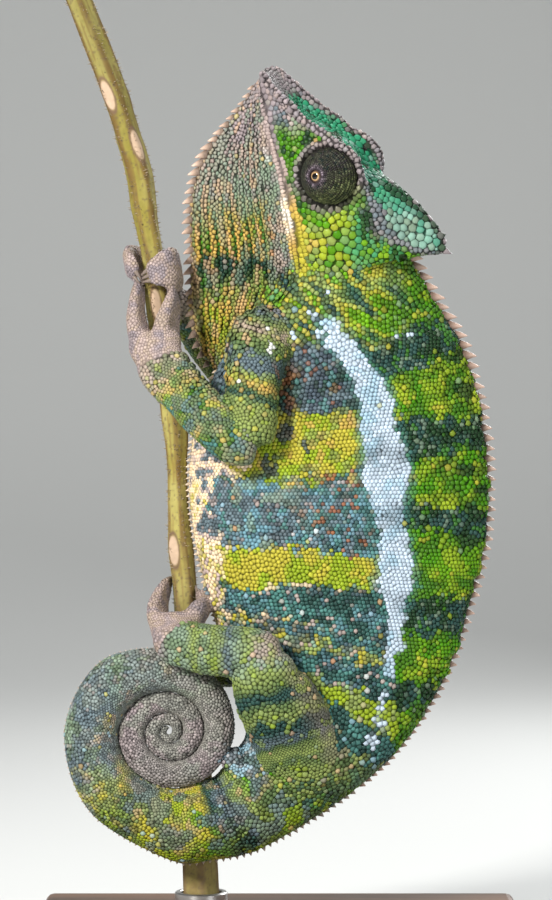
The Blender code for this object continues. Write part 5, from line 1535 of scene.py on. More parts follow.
# %% Throat
def throat_paint(points, luck):
    """Pleats with gold, peach or mauve ridges over green and teal hollows, in bands down the throat."""
    share, along = throat_share(points)
    blot = 0.55 * noise(points, 3.2, 33) + 0.45 * noise(points, 1.4, 34)
    zone = along + 8 * (blot - 0.5)
    hollow = banded(zone, [(46, "mauve"), (30, "ash"), (22, "sage"), (14, "moss"), (8, "nape"), (4, "dark"),
                           (-1, "dark"), (-4, "fern"), (-9, "lime"), (-18, "fern"), (-23, "dark"),
                           (-28, "moss")])
    top = banded(zone, [(46, "rosy"), (34, "mauve"), (26, "tan"), (20, "ash"), (15, "straw"), (10, "gold"),
                        (6, "gold"), (4, "deep"), (0, "dark"), (-2, "olive"), (-6, "gold"), (-10, "lemon"),
                        (-18, "gold"), (-22, "straw"), (-28, "slate")])
    lower = step(-3.0, -7.0, zone)
    ridges = pleats(points, share) + 0.25 * (luck - 0.5) + 0.45 * lower
    colour = mix(hollow, top, step(-0.55, 0.35, ridges))
    drawn = np.column_stack([share * 30, along * 0.30, 0 * along])
    colour = flecked(colour, drawn, [("peach", step(0.10, 0.2, share), 1.3, 74, 0.14, 0.5),
                                     ("sage", 1.0, 1.6, 75, 0.25, 0.5),
                                     ("green", 1 - step(8, 18, along), 1.3, 76, 0.20, 0.5)])
    near_jaw = (1 - step(0.16, 0.32, share)) * step(-2, 2, along)
    jaw_tone = banded(blot, [(0.34, "sage"), (0.48, "ash"), (0.60, "rosy"), (0.7, "tan")])
    colour = mix(colour, jaw_tone, 0.85 * near_jaw)
    orange_spots = [(9.0, 6.4, 1.0), (4.6, 7.0, 0.8), (13, 6.2, 0.7)]
    colour = mix(colour, INK["orange"], 0.5 * dots(along, share * 30, orange_spots))
    colour = mix(colour, INK["white"], 0.3 * dots(along, share * 30, [(27, 3.6, 1.1), (29, 4.2, 0.7)]))
    lips = banded(along, [(-4, "lime"), (2, "lemon"), (6, "gold"), (10, "cream"), (16, "cream"), (20, "rosy"),
                          (30, "rosy"), (46, "mauve")])
    width = np.interp(along, [-3, 2, 6, 12, 18, 24, 46], [0.01, 0.05, 0.07, 0.085, 0.05, 0.05, 0.20])
    lower_lip = step(0.012, -0.012, share - width) * step(-3, -1, along)
    colour = mix(colour, lips, lower_lip)
    white = 0.5 * lower_lip * band(along, 9, 18, 1.5)
    colour = mix(colour, INK["white"], white * flecks(points, 1.5, 77, 0.5))
    return mix(colour, INK["peach"], 0.35 * step(0.92, 0.98, share))


# %% [markdown]
# One function now gives the colour at any place, by the part it belongs to. It adds what lies across
# parts: the dark mouth line, the wrinkled armpit with painted shade in its crease, the painted shade
# between the arms, and the vent's pale hump.
# Larger beads take an ink of their own, and every scale ends up a little lighter or darker by chance.

# %% Colour at any place
ARMPIT = (0.4, -13.5, 138.5)
BETWEEN_ARMS = (-15.0, 0.0, 141.0)
VENT_HUMP = (-7.0, -6.0, 50.6)


def markings(points, kind, along, around, luck):
    """Colour at each point, by the kind of surface it belongs to."""
    colour = np.zeros((len(points), 3))
    is_body, is_head, is_throat = kind == 0, kind == 1, kind == 2
    is_limb = kind > 2
    colour[is_body] = body_paint(points[is_body], along[is_body], around[is_body])
    colour[is_head] = head_paint(points[is_head], luck[is_head])
    colour[is_throat] = throat_paint(points[is_throat], luck[is_throat])
    names = [KINDS[number] for number in kind[is_limb]]
    colour[is_limb] = limb_paint(points[is_limb], names, along[is_limb])
    mouth = bump(mouth_distance(points), 0.0, 0.40) * (is_head | is_throat)
    colour = mix(colour, (0.02, 0.02, 0.02), 0.85 * mouth)
    away = points - ARMPIT
    angle = np.arctan2(away[:, 2], away[:, 0])
    spokes = noise(np.column_stack([angle * 3.2, away[:, 1] / 6, 0 * away[:, 0]]), 1.0, 35)
    # armpit: the dark in its crease is painted shade; the rusty spokes are its wrinkles' own colour
    armpit_shade_and_wrinkles = 1 - step(2.0, 7.0, np.linalg.norm(away * [1.0, 0.7, 0.8], axis=1))
    colour = mix(colour, INK["dark"], 0.7 * armpit_shade_and_wrinkles)
    colour = mix(colour, INK["rust"], 0.55 * armpit_shade_and_wrinkles * step(0.48, 0.62, spokes))
    behind_arm = np.linalg.norm((points - BETWEEN_ARMS) * [1.0, 0.55, 0.8], axis=1)
    shade = 0.9 * is_limb * (points[:, 1] > -8) * (1 - step(6, 9, behind_arm))
    colour = mix(colour, np.array(INK["dark"]) * 0.6, shade)
    vent = np.linalg.norm((points - VENT_HUMP) * [0.8, 0.5, 1.2], axis=1)
    hump = (1 - step(4.5, 6.5, vent + 2 * (luck - 0.5))) * is_body
    hump_ink = banded(noise(points, 1.6, 78), [(0.32, "slate"), (0.44, "steel"), (0.54, "lilac"),
                                               (0.64, "ice")])
    colour = mix(colour, hump_ink, 0.85 * hump)
    return np.clip(colour, 0.0, 1.0)


# %% Beads, and luck for each scale
def bead_colours(points, kind, along, luck):
    """What the larger beads wear: white in teal, lemon in green, gold on the arms, and so on."""
    x, z = side_view(points)
    row = body_row(along)
    teal = (kind == 0) & (row < 18) & (x < 24) & ((z < 91) | ((z > 99) & (z < 117)))
    ink = (kind == 0) & (row < 18) & (x < 20) & (z > 132)
    back = (kind == 0) & (row < 18) & (x > 27)
    tail = (kind == 0) & (row >= 18)
    limb = kind > 2
    leg = limb & (z < 100)
    throat = kind == 2
    picked = tinted(points, "lemon")
    for where, inks in ((teal, ("ice", "white", "rosy", "orange")), (ink, ("blue", "ice", "rust", "sea")),
                        (back, ("lime", "lemon", "lime", "sage")), (tail, ("lemon", "straw", "gold", "ice")),
                        (limb, ("straw", "gold", "lemon", "fern")), (leg, ("fern", "sage", "peach", "lime")),
                        (throat, ("gold", "tan", "straw", "ash"))):
        choice = np.array([INK[name] for name in inks])[np.minimum((luck * 4).astype(int), 3)]
        picked = np.where(where[:, None], choice, picked)
    return picked


LUCK = np.random.default_rng(21).random(len(spot))
paint = markings(spot, kind, along, around, LUCK)
bead_paint = bead_colours(spot, kind, along, np.random.default_rng(23).random(len(spot)))
may_differ = (style == BEAD) & ~grip_kinds[kind] & (paint.max(axis=1) < 0.6)
paint = mix(paint, bead_paint, 0.50 * may_differ)
seen_x, seen_z = side_view(spot)
dark_flank = (kind == 0) & (seen_x < 27) & (paint.max(axis=1) < 0.32)
uneven = np.where(dark_flank, 0.42, np.where((kind == 0) & (seen_x < 0) & (seen_z < 92), 0.09, 0.15))
shift = 2 * uneven * np.random.default_rng(22).random(len(spot))
paint = np.clip(paint * (1 - uneven + shift)[:, None], 0, 1)
print("painted scales:", len(paint), "mean colour", paint.mean(axis=0).round(3))

# %% [markdown]
# ## The skin's own finish
#
# The material reads the paint stored at each point and breaks it up with fine noise. The skin lies
# in the gaps between scales, so it is painted the same colour but much darker: partly its own darker tone,
# partly painted shade of the gaps.

# %% Skin material and mesh
def new_material(name, looks):
    """A material, and helpers that add a node with its inputs set and that link two nodes."""
    material = bpy.data.materials.new(name)
    material.use_nodes = True
    tree = material.node_tree

    def put(node, values):
        for label, value in values.items():
            node.inputs[label].default_value = value
        return node

    def add(kind, values={}):
        return put(tree.nodes.new("ShaderNode" + kind), values)

    def link(giver, output, taker, entry):
        tree.links.new(giver.outputs[output], taker.inputs[entry])

    return material, put(tree.nodes["Principled BSDF"], looks), add, link


def skin_material(name, roughness, tone=(0.75, 1.15), grain=900.0, gloss=0.13, more={}):
    """Painted skin: stored colour times a fine mottle, with a little bump."""
    looks = {"Roughness": roughness, "Specular IOR Level": gloss, **more}
    material, shader, add, link = new_material(name, looks)
    place = add("TexCoord")
    mottle = add("TexNoise", {"Scale": grain, "Detail": 3.0})
    spread = add("MapRange", {"To Min": tone[0], "To Max": tone[1]})
    stored = add("Attribute")
    stored.attribute_name = "Paint"
    blend = add("VectorMath")
    blend.operation = "SCALE"
    relief = add("Bump", {"Strength": 0.25, "Distance": 0.0003})
    link(place, "Object", mottle, "Vector")
    link(mottle, "Fac", spread, "Value")
    link(stored, "Color", blend, 0)
    link(spread, "Result", blend, "Scale")
    link(blend, "Vector", shader, "Base Color")
    link(mottle, "Fac", relief, "Height")
    link(relief, "Normal", shader, "Normal")
    return material


# %% Skin on the model
def ride(obj, material):
    """Give a finished piece its material and let it ride on the model."""
    obj.data.materials.clear()
    obj.data.materials.append(material)
    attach(obj, "root")
    return obj


SKIN_FINISH = skin_material("skin_finish", 0.60, gloss=0.08)
SCALE_FINISH = skin_material("scale_finish", 0.34)
skin_home = np.array([near.find(point)[1] for point in both_points.tolist()])
skin_kind = kinds[skin_home]
skin_paint = markings(both_points, skin_kind, places[skin_home, 4], places[skin_home, 5],
                      np.full(len(both_points), 0.5))


def openness(spots, kind_here, colours):
    """0 where gaps between scales are dark, 1 where they are pale: stripe, belly and lips."""
    by_lip = (1 - step(2.4, 3.2, mouth_distance(spots))) * np.isin(kind_here, (1, 2))
    return np.clip(step(0.22, 0.50, colours.min(axis=1)) + by_lip, 0, 1)


skin_open = openness(both_points, skin_kind, skin_paint)
# skin between scales: painted shade of the gaps, lighter where the scales are pale and on hands and feet
skin_shade = np.where(grip_kinds[skin_kind], 0.62, 0.20 + 0.34 * skin_open)[:, None]
skin = store("skin", both_points, both_tris, skin_paint * skin_shade)
ride(skin, SKIN_FINISH)
FLESH = [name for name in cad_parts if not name.startswith(("eye_", "perch_", "stand_"))]
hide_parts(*FLESH)
print("skin replaces", len(FLESH), "nodes")

# %% [markdown]
# ## Scales as solids
#
# Each scale is a small closed solid: a ring sunk a little below the skin, one or more rings higher
# up, and a rounded top. Its outline follows its neighbours: in each of six directions it reaches as
# far as the line that divides the gap to the nearest neighbour, the larger scale getting more of it.
# Thousands are worked out together as one array and stored as joined meshes.

# %% Outline of every scale
SIDES = 6


def neighbour_outline(spots, normals, sizes, sides, count=9):
    """Tangent directions, and the angle and reach of each scale's corners.

    A corner points between each two of the nearest neighbours, and
    reach(corner) = min over neighbours of  d * s_i / (s_i + s_j) / cos(angle to that neighbour).
    """
    near_by = neighbours(spots, count)
    gap = spots[near_by] - spots[:, None]
    helper = np.where(np.abs(normals[:, 2:]) < 0.9, [[0.0, 0.0, 1.0]], [[1.0, 0.0, 0.0]])
    one = unit(np.cross(helper, normals))
    two = np.cross(normals, one)
    x, y = np.einsum("nkj,nj->nk", gap, one), np.einsum("nkj,nj->nk", gap, two)
    flat = np.hypot(x, y)
    facing_away = np.einsum("nkj,nj->nk", normals[near_by], normals) < 0.1
    flat = np.where(facing_away, 99.0, np.maximum(flat, 1e-6))
    share = sizes[:, None] / (sizes[:, None] + sizes[near_by])
    toward = np.arctan2(y, x)
    closest = np.argsort(flat / (sizes[:, None] + sizes[near_by]), axis=1)[:, :sides]
    sorted_way = np.sort(np.take_along_axis(toward, closest, axis=1), axis=1)
    following = np.roll(sorted_way, -1, axis=1) + 2 * math.pi * (np.arange(sides) == sides - 1)
    corners = (sorted_way + following) / 2
    even = corners.mean(axis=1, keepdims=True) + (np.arange(sides) - (sides - 1) / 2) * 2 * math.pi / sides
    corners = 0.8 * corners + 0.2 * even
    reach = np.full((len(spots), sides), 99.0)
    for k in range(count):
        lean = np.cos(corners - toward[:, k:k + 1])
        limit = flat[:, k:k + 1] * share[:, k:k + 1] / np.maximum(lean, 0.30)
        reach = np.minimum(reach, np.where(lean > 0.30, limit, 99.0))
    reach = np.clip(reach, 0.36 * sizes[:, None], 0.80 * sizes[:, None])
    return one, two, corners, reach


def coat_of(spots, ways, sizes, colours, luck, gaps, thickness):
    """Everything that a scale is made from, as named arrays with a row for each scale."""
    one, two, corners, reach = neighbour_outline(spots, ways, sizes, SIDES)
    return {"spot": spots, "way": ways, "size": sizes, "paint": colours, "luck": luck, "gaps": gaps,
            "thickness": thickness, "one": one, "two": two, "corners": corners, "reach": reach}


coat = coat_of(spot, out_way, size, paint, LUCK, openness(spot, kind, paint),
               np.where(grip_kinds[kind], 0.55, 1.0))
print("mean reach over size:", (coat["reach"] / size[:, None]).mean().round(3))

# %% Shapes
# Each shape: rings as (share of the reach, share of the height, shade), height over size, top highlight.
# Shades below 1 are painted shade toward the sunk foot; the top highlight above 1 is a painted highlight.
SHAPES = {
    GRANULE: ([(1.06, -0.30, 0.34), (0.94, 0.52, 0.84)], 0.30, 1.18),
    BEAD: ([(1.06, -0.30, 0.34), (0.98, 0.42, 0.80), (0.64, 0.90, 1.04)], 0.38, 1.18),
    FLAT: ([(1.04, -0.40, 0.30), (0.97, 0.50, 0.76), (0.76, 0.90, 1.00)], 0.20, 1.08),
    CONE: ([(1.06, -0.35, 0.36), (0.92, 0.42, 0.82), (0.56, 0.86, 1.04)], 0.36, 1.18),
    SHIELD: ([(1.03, -0.40, 0.62), (0.97, 0.55, 0.92), (0.72, 0.92, 1.00)], 0.14, 1.04),
}
TALLEST_SIZE = 2.6              # larger plates grow wider but no taller


# %% Scale solids
def stack_tris(levels, sides):
    """Triangles of one solid: rings of corners stacked up, closed by a floor and a top point."""
    k = np.arange(sides)
    n = (k + 1) % sides
    tris = []
    for level in range(levels - 1):
        low, high = level * sides, (level + 1) * sides
        tris += [np.stack([low + k, low + n, high + n], 1), np.stack([low + k, high + n, high + k], 1)]
    last = (levels - 1) * sides
    tris.append(np.stack([last + k, last + n, np.full(sides, levels * sides)], 1))
    tris.append(np.stack([np.zeros(sides - 2, int), k[2:], k[1:-1]], 1))
    return np.vstack(tris)


def repeated(template, count, per):
    """The same triangles for each of many equal solids, `per` points further on every time."""
    return (template[None] + (np.arange(count) * per)[:, None, None]).reshape(-1, 3)


def scale_solids(scales, shape):
    """Points, triangles, colours and bake-map places of scales that all have one shape.

    point = spot + (one cos + two sin) * reach * share + way * height * lift
    On the bake map, a scale's rings lie inside each other in a square from -0.5 to 0.5.
    """
    rings, height, top_highlight = SHAPES[shape]
    spots, ways = scales["spot"][:, None], scales["way"][:, None]
    spokes = spun(scales["one"][:, None], scales["two"][:, None], scales["corners"])
    tall = height * np.minimum(scales["size"], TALLEST_SIZE) * (0.85 + 0.3 * scales["luck"])
    tall = (tall * scales["thickness"])[:, None]
    layers = [spots + spokes * (scales["reach"] * share)[..., None] + ways * (tall * lift)[..., None]
              for share, lift, _ in rings]
    points = np.concatenate(layers + [spots + ways * tall[..., None]], axis=1)
    # colour of each point: paint times its ring's shade, painted shade at the foot and a painted highlight on
    # top, with lighter feet where the gaps are pale
    shade = np.repeat([shade for _, _, shade in rings] + [top_highlight], [SIDES] * len(rings) + [1])
    shade = shade + (1 - np.minimum(shade, 1)) * 0.5 * scales["gaps"][:, None]
    colours = np.clip(scales["paint"][:, None] * shade[..., None], 0, 1)
    flat = [circle(scales["corners"]) * 0.5 * (1.0 - 0.32 * number) for number in range(len(rings))]
    flat = np.concatenate(flat + [np.zeros((len(spots), 1, 2))], axis=1)
    tris = repeated(stack_tris(len(rings), SIDES), len(spots), points.shape[1])
    return points.reshape(-1, 3), tris, colours.reshape(-1, 3), flat.reshape(-1, 2)


# %% [markdown]
# Each piece of the coat also gets a bake map. A scale takes a small square there, at the place its
# root has on the unrolled skin: how far along its part it lies, and how far around.

# %% Joined meshes of scales
PATCH = 0.003                   # width of one scale's square on the bake map


def make_scales(name, pick):
    """One joined mesh of scales, every shape in it, with paint and bake map."""
    kinds_here, column = np.unique(kind[pick], return_inverse=True)
    columns = len(kinds_here)
    u, v = np.zeros(len(pick)), around[pick] % 1.0
    for number in kinds_here:
        mine = kind[pick] == number
        low, high = along[pick][mine].min(), along[pick][mine].max()
        u[mine] = (along[pick][mine] - low) / max(high - low, 1e-6)
    centre = np.stack([(column + 0.02 + 0.96 * u) / columns, 0.01 + 0.98 * v], axis=1)
    meshes, colours, patches = [], [], []
    for shape in SHAPES:
        mine = np.flatnonzero(style[pick] == shape)
        if not len(mine):
            continue
        scales = {name_of: rows[pick[mine]] for name_of, rows in coat.items()}
        points, tris, colour, aside = scale_solids(scales, shape)
        meshes.append((points, tris))
        colours.append(colour)
        per = len(points) // len(mine)
        patches.append(np.repeat(centre[mine], per, axis=0) + aside * PATCH)
    points, tris = joined(meshes)
    obj = store(name, points, tris, np.vstack(colours), np.vstack(patches))
    ride(obj, SCALE_FINISH)
    print(name, len(pick), "scales", len(tris), "triangles")
    return len(tris)


MOST = 7600                     # scales in one piece, to keep it light


def in_lengths(name, pick):
    """Split a part's scales into lengths of at most MOST scales, in order along the part."""
    pieces = max(int(math.ceil(len(pick) / MOST)), 1)
    ordered = pick[np.argsort(kind[pick] * 10 + along[pick], kind="stable")]
    total = 0
    for number, share in enumerate(np.array_split(ordered, pieces)):
        total += make_scales(f"{name}_{number + 1}" if pieces > 1 else name, share)
    return total


def of_kind(*starts):
    """Indices of the scales whose part's name begins with one of these."""
    wanted_kinds = [number for number, name in enumerate(KINDS) if name.startswith(starts)]
    return np.flatnonzero(np.isin(kind, wanted_kinds))


on_body = of_kind("body")
on_tail = body_row(along[on_body]) >= 18
triangles = in_lengths("scales_flank", on_body[~on_tail])
triangles += in_lengths("scales_tail", on_body[on_tail])
for name, part, slot in (("head", "head", "skin_head"), ("throat", "throat", "skin_head"),
                         ("arms", "arm", "skin_limb"), ("legs", "leg", "skin_limb"),
                         ("hands", "hand", "skin_hand"), ("feet", "foot", "skin_hand")):
    triangles += in_lengths("scales_" + name, of_kind(part))
print("scale triangles in all:", triangles)

# %% [markdown]
# ## Eyes
#
# A chameleon's eyelids are fused into a cone that turns with the eye and leaves a hole as small as
# the pupil. The cone here is a profile turned about the line of sight, with a thin raised ring at
# the hole. It is covered in rings of fine scales; the eyeball shows inside the ring.

# %% Eye turrets
TURRET = [(-1.0, 0.0), (-0.86, 0.50), (-0.5, 0.86), (0.0, 1.0), (0.42, 0.90), (0.74, 0.66), (0.90, 0.44),
          (0.965, 0.30), (0.975, 0.255), (0.955, 0.225), (0.90, 0.215), (0.80, 0.16), (0.78, 0.0)]
LID_RADIUS = EYE_RADIUS - 0.25  # leaves room for the scales
GLOBE_RADIUS = 0.30             # of the part of the eyeball that shows, as a share of the turret


def turret_surface(side):
    """The turret's profile turned about the eye's line of sight."""
    centre, aim, across, upward = eye_frame(side)
    profile = np.array(TURRET)

    def surface(along, around):
        here = curve(profile, along * (len(profile) - 1.0))
        radius = np.maximum(here[:, 1], 0.0) * LID_RADIUS
        spoke = spun(across, upward, around * 2 * math.pi)
        return centre + aim * (here[:, :1] * LID_RADIUS) + spoke * radius[:, None]

    return surface


def turret_colours(points, centre, aim, luck):
    """Dark olive grey, paler below, with painted shade between concentric rows and a mauve ring at the hole.
    """
    offset = points - centre
    forward = offset @ aim / EYE_RADIUS
    low = step(1.0, -5.0, offset[:, 2] - 0.5 * offset[:, 0])
    colour = banded(forward, [(-1, "plum"), (0.0, "lid"), (0.86, "lid"), (0.95, "haze"), (1.0, "haze")])
    colour = mix(colour, INK["deep"], some(luck, 0.0, 0.14) * 0.7)
    colour = mix(colour, INK["plum"], some(luck, 0.14, 0.34) * 0.5)
    colour = mix(colour, INK["olive"], 0.35 * low * step(0.05, 0.4, 1 - forward))
    # darker between concentric rows: painted shade of the grooves between rows of lid scales
    rows = 0.5 + 0.5 * np.cos(2 * math.pi * 26 * np.arccos(np.clip(forward, -1, 1)) / math.pi)
    colour = colour * (0.30 + 0.85 * rows)[:, None]
    return mix(colour, INK["haze"], 0.8 * step(0.925, 0.97, forward))


# %% Rings of places, and the eyeball
def ring_places(surface, centre, along_range, pitch):
    """Places in rings round an eye turret: points, outward directions, along and around."""
    fine = np.linspace(*along_range, 200)
    line = surface(fine, np.zeros(200))
    length = np.concatenate([[0], np.cumsum(np.linalg.norm(np.diff(line, axis=0), axis=1))])
    rings = np.interp(np.arange(pitch * 0.5, length[-1], pitch * 0.86), length, fine)
    found = []
    for number, where in enumerate(rings):
        ring = surface(np.array([where, where]), np.array([0.0, 0.5]))
        total = max(int(math.pi * np.linalg.norm(ring[0] - ring[1]) / pitch), 8)
        turn = (np.arange(total) + 0.5 * (number % 2)) / total
        here = surface(np.full(total, where), turn)
        ahead = surface(np.full(total, where + 0.01), turn)
        beside = surface(np.full(total, where), turn + 0.01)
        way = unit(np.cross(ahead - here, beside - here))
        way *= np.sign(np.einsum("ij,ij->i", way, here - centre))[:, None]
        found.append(np.column_stack([here, way, np.full(total, where), turn]))
    found = np.vstack(found)
    return found[:, :3], found[:, 3:6], found[:, 6], found[:, 7]


def eyeball(middle, aim, across, upward):
    """A sphere: middle + radius * (aim cos + spoke sin)."""
    def surface(along, around):
        spoke = spun(across, upward, around * 2 * math.pi)
        return middle + EYE_RADIUS * GLOBE_RADIUS * spun(aim, spoke, along * math.pi)
    return surface


def iris_colours(points, middle, aim):
    """Dark brown with a paler ring round the pupil, by distance from the line of sight."""
    from_axis = np.linalg.norm(np.cross(points - middle, aim), axis=1)
    colour = np.tile((0.30, 0.17, 0.07), (len(points), 1))
    colour = mix(colour, (0.50, 0.33, 0.16), bump(from_axis, 0.86, 0.10))
    colour = mix(colour, (0.004, 0.004, 0.005), 1 - step(0.70, 0.78, from_axis))
    return mix(colour, (0.08, 0.05, 0.04), step(1.02, 1.15, from_axis))


# a wet, glossy surface over the stored rings of colour
EYE_GLOSS = skin_material("eye_gloss", 0.06, tone=(0.92, 1.05), grain=1500.0,
                          more={"Coat Weight": 0.8, "Coat Roughness": 0.03})

# %% Both eyes
LID_PITCH, LID_SCALE, LID_SHADE = 0.52, 0.54, 0.20
for side, label in ((1, "left"), (-1, "right")):
    centre, aim, across, upward = eye_frame(side)
    surface = turret_surface(side)
    points, tris = closed_grid(surface, 90, 72)
    lid_paint = turret_colours(points, centre, aim, np.full(len(points), 0.6)) * LID_SHADE
    lids = ride(store(f"eyelids_{label}", points, tris, lid_paint), SKIN_FINISH)
    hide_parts(f"eye_{label}")

    spots, ways, alongs, arounds = ring_places(surface, centre, (0.19, 0.575), LID_PITCH)
    luck = np.random.default_rng(40 + side).random(len(spots))
    colours = turret_colours(spots, centre, aim, luck) * (0.35 + 1.45 * luck ** 2)[:, None]
    height_luck = np.random.default_rng(len(spots)).random(len(spots))
    scales = coat_of(spots, ways, np.full(len(spots), LID_SCALE), colours, height_luck,
                     np.zeros(len(spots)), np.ones(len(spots)))
    points, tris, shades, aside = scale_solids(scales, GRANULE)
    patches = np.stack([0.02 + 0.96 * alongs, 0.02 + 0.96 * arounds], axis=1)
    patches = np.repeat(patches, len(points) // len(spots), axis=0) + aside * PATCH
    ride(store(f"scales_eye_{label}", points, tris, shades, patches), SCALE_FINISH)

    middle = centre + aim * 0.66 * EYE_RADIUS
    points, tris = closed_grid(eyeball(middle, aim, across, upward), 64, 64)
    ride(store(f"eyeball_{label}", points, tris, iris_colours(points, middle, aim)), EYE_GLOSS)
    print("eye", label, len(spots), "scales on the lid")

# %% [markdown]
# ## Spines and claws
#
# A row of soft conical spines stands along the back, a second under the throat, a low one on the
# belly. Each spine is a short cone that leans toward the tail. Claws are the same idea, slimmer and
# more curved, one at the end of each toe.

# %% Cones along a line
CONE_SIDES = 8
CONE_RINGS = [(-0.30, 1.00), (0.0, 0.96), (0.30, 0.72), (0.62, 0.42), (0.86, 0.20)]   # height, width


def cones(name, roots, out, lean, heights, widths, colours, tips, finish, bend=0.2):
    """Curved cones: point = root + out h s + lean h bend s^2 + (a cos + b sin) w r(s)."""
    helper = unit(np.cross(out, lean))
    angle = np.arange(CONE_SIDES) * 2 * math.pi / CONE_SIDES
    ring = spun(helper[:, None], np.cross(out, helper)[:, None], angle)
    layers, shades = [], []
    for s, r in CONE_RINGS:
        middle = roots + out * (heights * s)[:, None] + lean * (heights * bend * max(s, 0.0) ** 2)[:, None]
        layers.append(middle[:, None] + ring * (widths * r)[:, None, None])
        # darker toward the root, 0.55 of the colour: painted shade where the cone meets the surface it stands
        # on; then the tip colour
        blend = np.clip(s, 0, 1)
        shade = colours * (0.55 + 0.45 * blend) * (1 - blend) + tips * blend
        shades.append(np.repeat(shade[:, None], CONE_SIDES, axis=1))
    layers.append((roots + out * heights[:, None] + lean * (heights * bend)[:, None])[:, None])
    shades.append(tips[:, None])
    points = np.concatenate(layers, axis=1)
    _, template = outward(points[0], stack_tris(len(CONE_RINGS), CONE_SIDES))
    tris = repeated(template, len(roots), points.shape[1])
    place = np.arange(len(roots)) / max(len(roots) - 1, 1)
    spread = np.concatenate([circle(angle) * 0.5 * r for _, r in CONE_RINGS] + [np.zeros((1, 2))])
    patches = np.stack([0.02 + 0.96 * place, np.full(len(roots), 0.5)], 1)[:, None] + spread[None] * PATCH
    shades = np.concatenate(shades, axis=1).reshape(-1, 3)
    obj = store(name, points.reshape(-1, 3), tris, shades, patches.reshape(-1, 2))
    print(name, len(roots), "cones", len(tris), "triangles")
    return ride(obj, finish)


def evenly(line, gaps):
    """Places on a finely drawn line such that each gap is that wide: indices as fractions."""
    steps = np.linalg.norm(np.diff(line, axis=0), axis=1)
    count = np.concatenate([[0], np.cumsum(steps / gaps[1:])])
    return np.interp(np.arange(0.5, count[-1]), count, np.arange(float(len(line))))


# %% Spines
def edge_cones(name, surface, around, span, gaps, height_stops, slimness, colour, tip, seed):
    """Cones along one edge of a surface; their sizes run evenly from one end to the other."""
    fine = np.linspace(*span, 1200)
    line = surface(fine, np.full(1200, around))
    where = evenly(line, np.linspace(*gaps, 1200))
    roots = curve(line, where)
    inner = surface(np.interp(where, np.arange(1200.0), fine), np.full(len(where), around + 0.5))
    out = unit(roots - inner)
    lean = unit(curve(line, np.minimum(where + 3, 1199)) - curve(line, np.maximum(where - 3, 0)))
    rng = np.random.default_rng(seed)
    heights = np.interp(where / 1199.0, np.linspace(0, 1, len(height_stops)), height_stops)
    heights = heights * (0.85 + 0.3 * rng.random(len(where)))
    tint = (0.85 + 0.3 * rng.random(len(where)))[:, None]
    cones(name, roots - out * (COAT + 0.1), out, lean, heights + COAT, heights * slimness + 0.25,
          np.tile(colour, (len(where), 1)) * tint, np.tile(tip, (len(where), 1)) * tint, SCALE_FINISH)


def share_of_body(first, last):
    """Two distances in rows from the body's start, as shares of its whole length in rows."""
    return tuple(row * (1.0 / (LAST_ROW - FIRST_ROW)) for row in (first, last))


edge_cones("spines_back", WHOLE_BODY, 0.0, share_of_body(0.1, 17.6), (2.9, 1.9),
           (2.6, 2.1, 1.5, 1.0), 0.46, (0.30, 0.20, 0.15), (0.66, 0.47, 0.38), 51)
edge_cones("spines_tail", WHOLE_BODY, 0.0, share_of_body(17.7, 29.0), (1.9, 1.1),
           (1.0, 0.55, 0.35), 0.45, (0.22, 0.19, 0.15), (0.55, 0.45, 0.38), 52)
edge_cones("spines_belly", WHOLE_BODY, 0.5, share_of_body(4.6, 15.5), (1.5, 1.3),
           (0.9, 0.7), 0.45, (0.45, 0.34, 0.22), (0.80, 0.66, 0.52), 53)
edge_cones("spines_throat", throat_surface, 0.5, (0.06, 0.97), (2.1, 2.7),
           (1.0, 1.9, 1.8, 1.5), 0.46, (0.36, 0.26, 0.20), (0.78, 0.56, 0.44), 54)

# %% Claws
CLAW_LENGTH, CLAW_WIDTH, CLAW_SUNK = 2.5, 0.62, 0.5
claws = []
for name, parts in GRIPS.items():
    upright = name == "hand_right"
    for bundle, number in zip(("outer", "inner"), parts["toes"]):
        for which in range(number):
            toe = toe_rows(parts[bundle], number, which, upright)
            end, before, earlier = toe[-1, :3], toe[-2, :3], toe[-3, :3]
            heading = unit(end - before)
            turning = unit(unit(end - before) - unit(before - earlier) + heading * 0.05)
            claws.append((end - heading * CLAW_SUNK, heading, turning))
roots, headings, bends = (np.array(rows) for rows in zip(*claws))
bends = unit(bends - headings * np.einsum("ij,ij->i", bends, headings)[:, None])
HORN = skin_material("horn_finish", 0.28, tone=(0.85, 1.1), grain=700.0)
cones("claws", roots, headings, bends, np.full(len(roots), CLAW_LENGTH), np.full(len(roots), CLAW_WIDTH),
      np.tile((0.34, 0.27, 0.22), (len(roots), 1)), np.tile((0.13, 0.10, 0.09), (len(roots), 1)),
      HORN, bend=0.5)

# %% [markdown]
# ## The perch
#
# A cut stem of a soft-wooded plant: five low ridges run up it, twisting a little. It swells at the
# nodes, where leaves have dropped and left pale scars. Ridges carry brown, fuzzy bark, with short
# hairs on all but the foot of the stem.

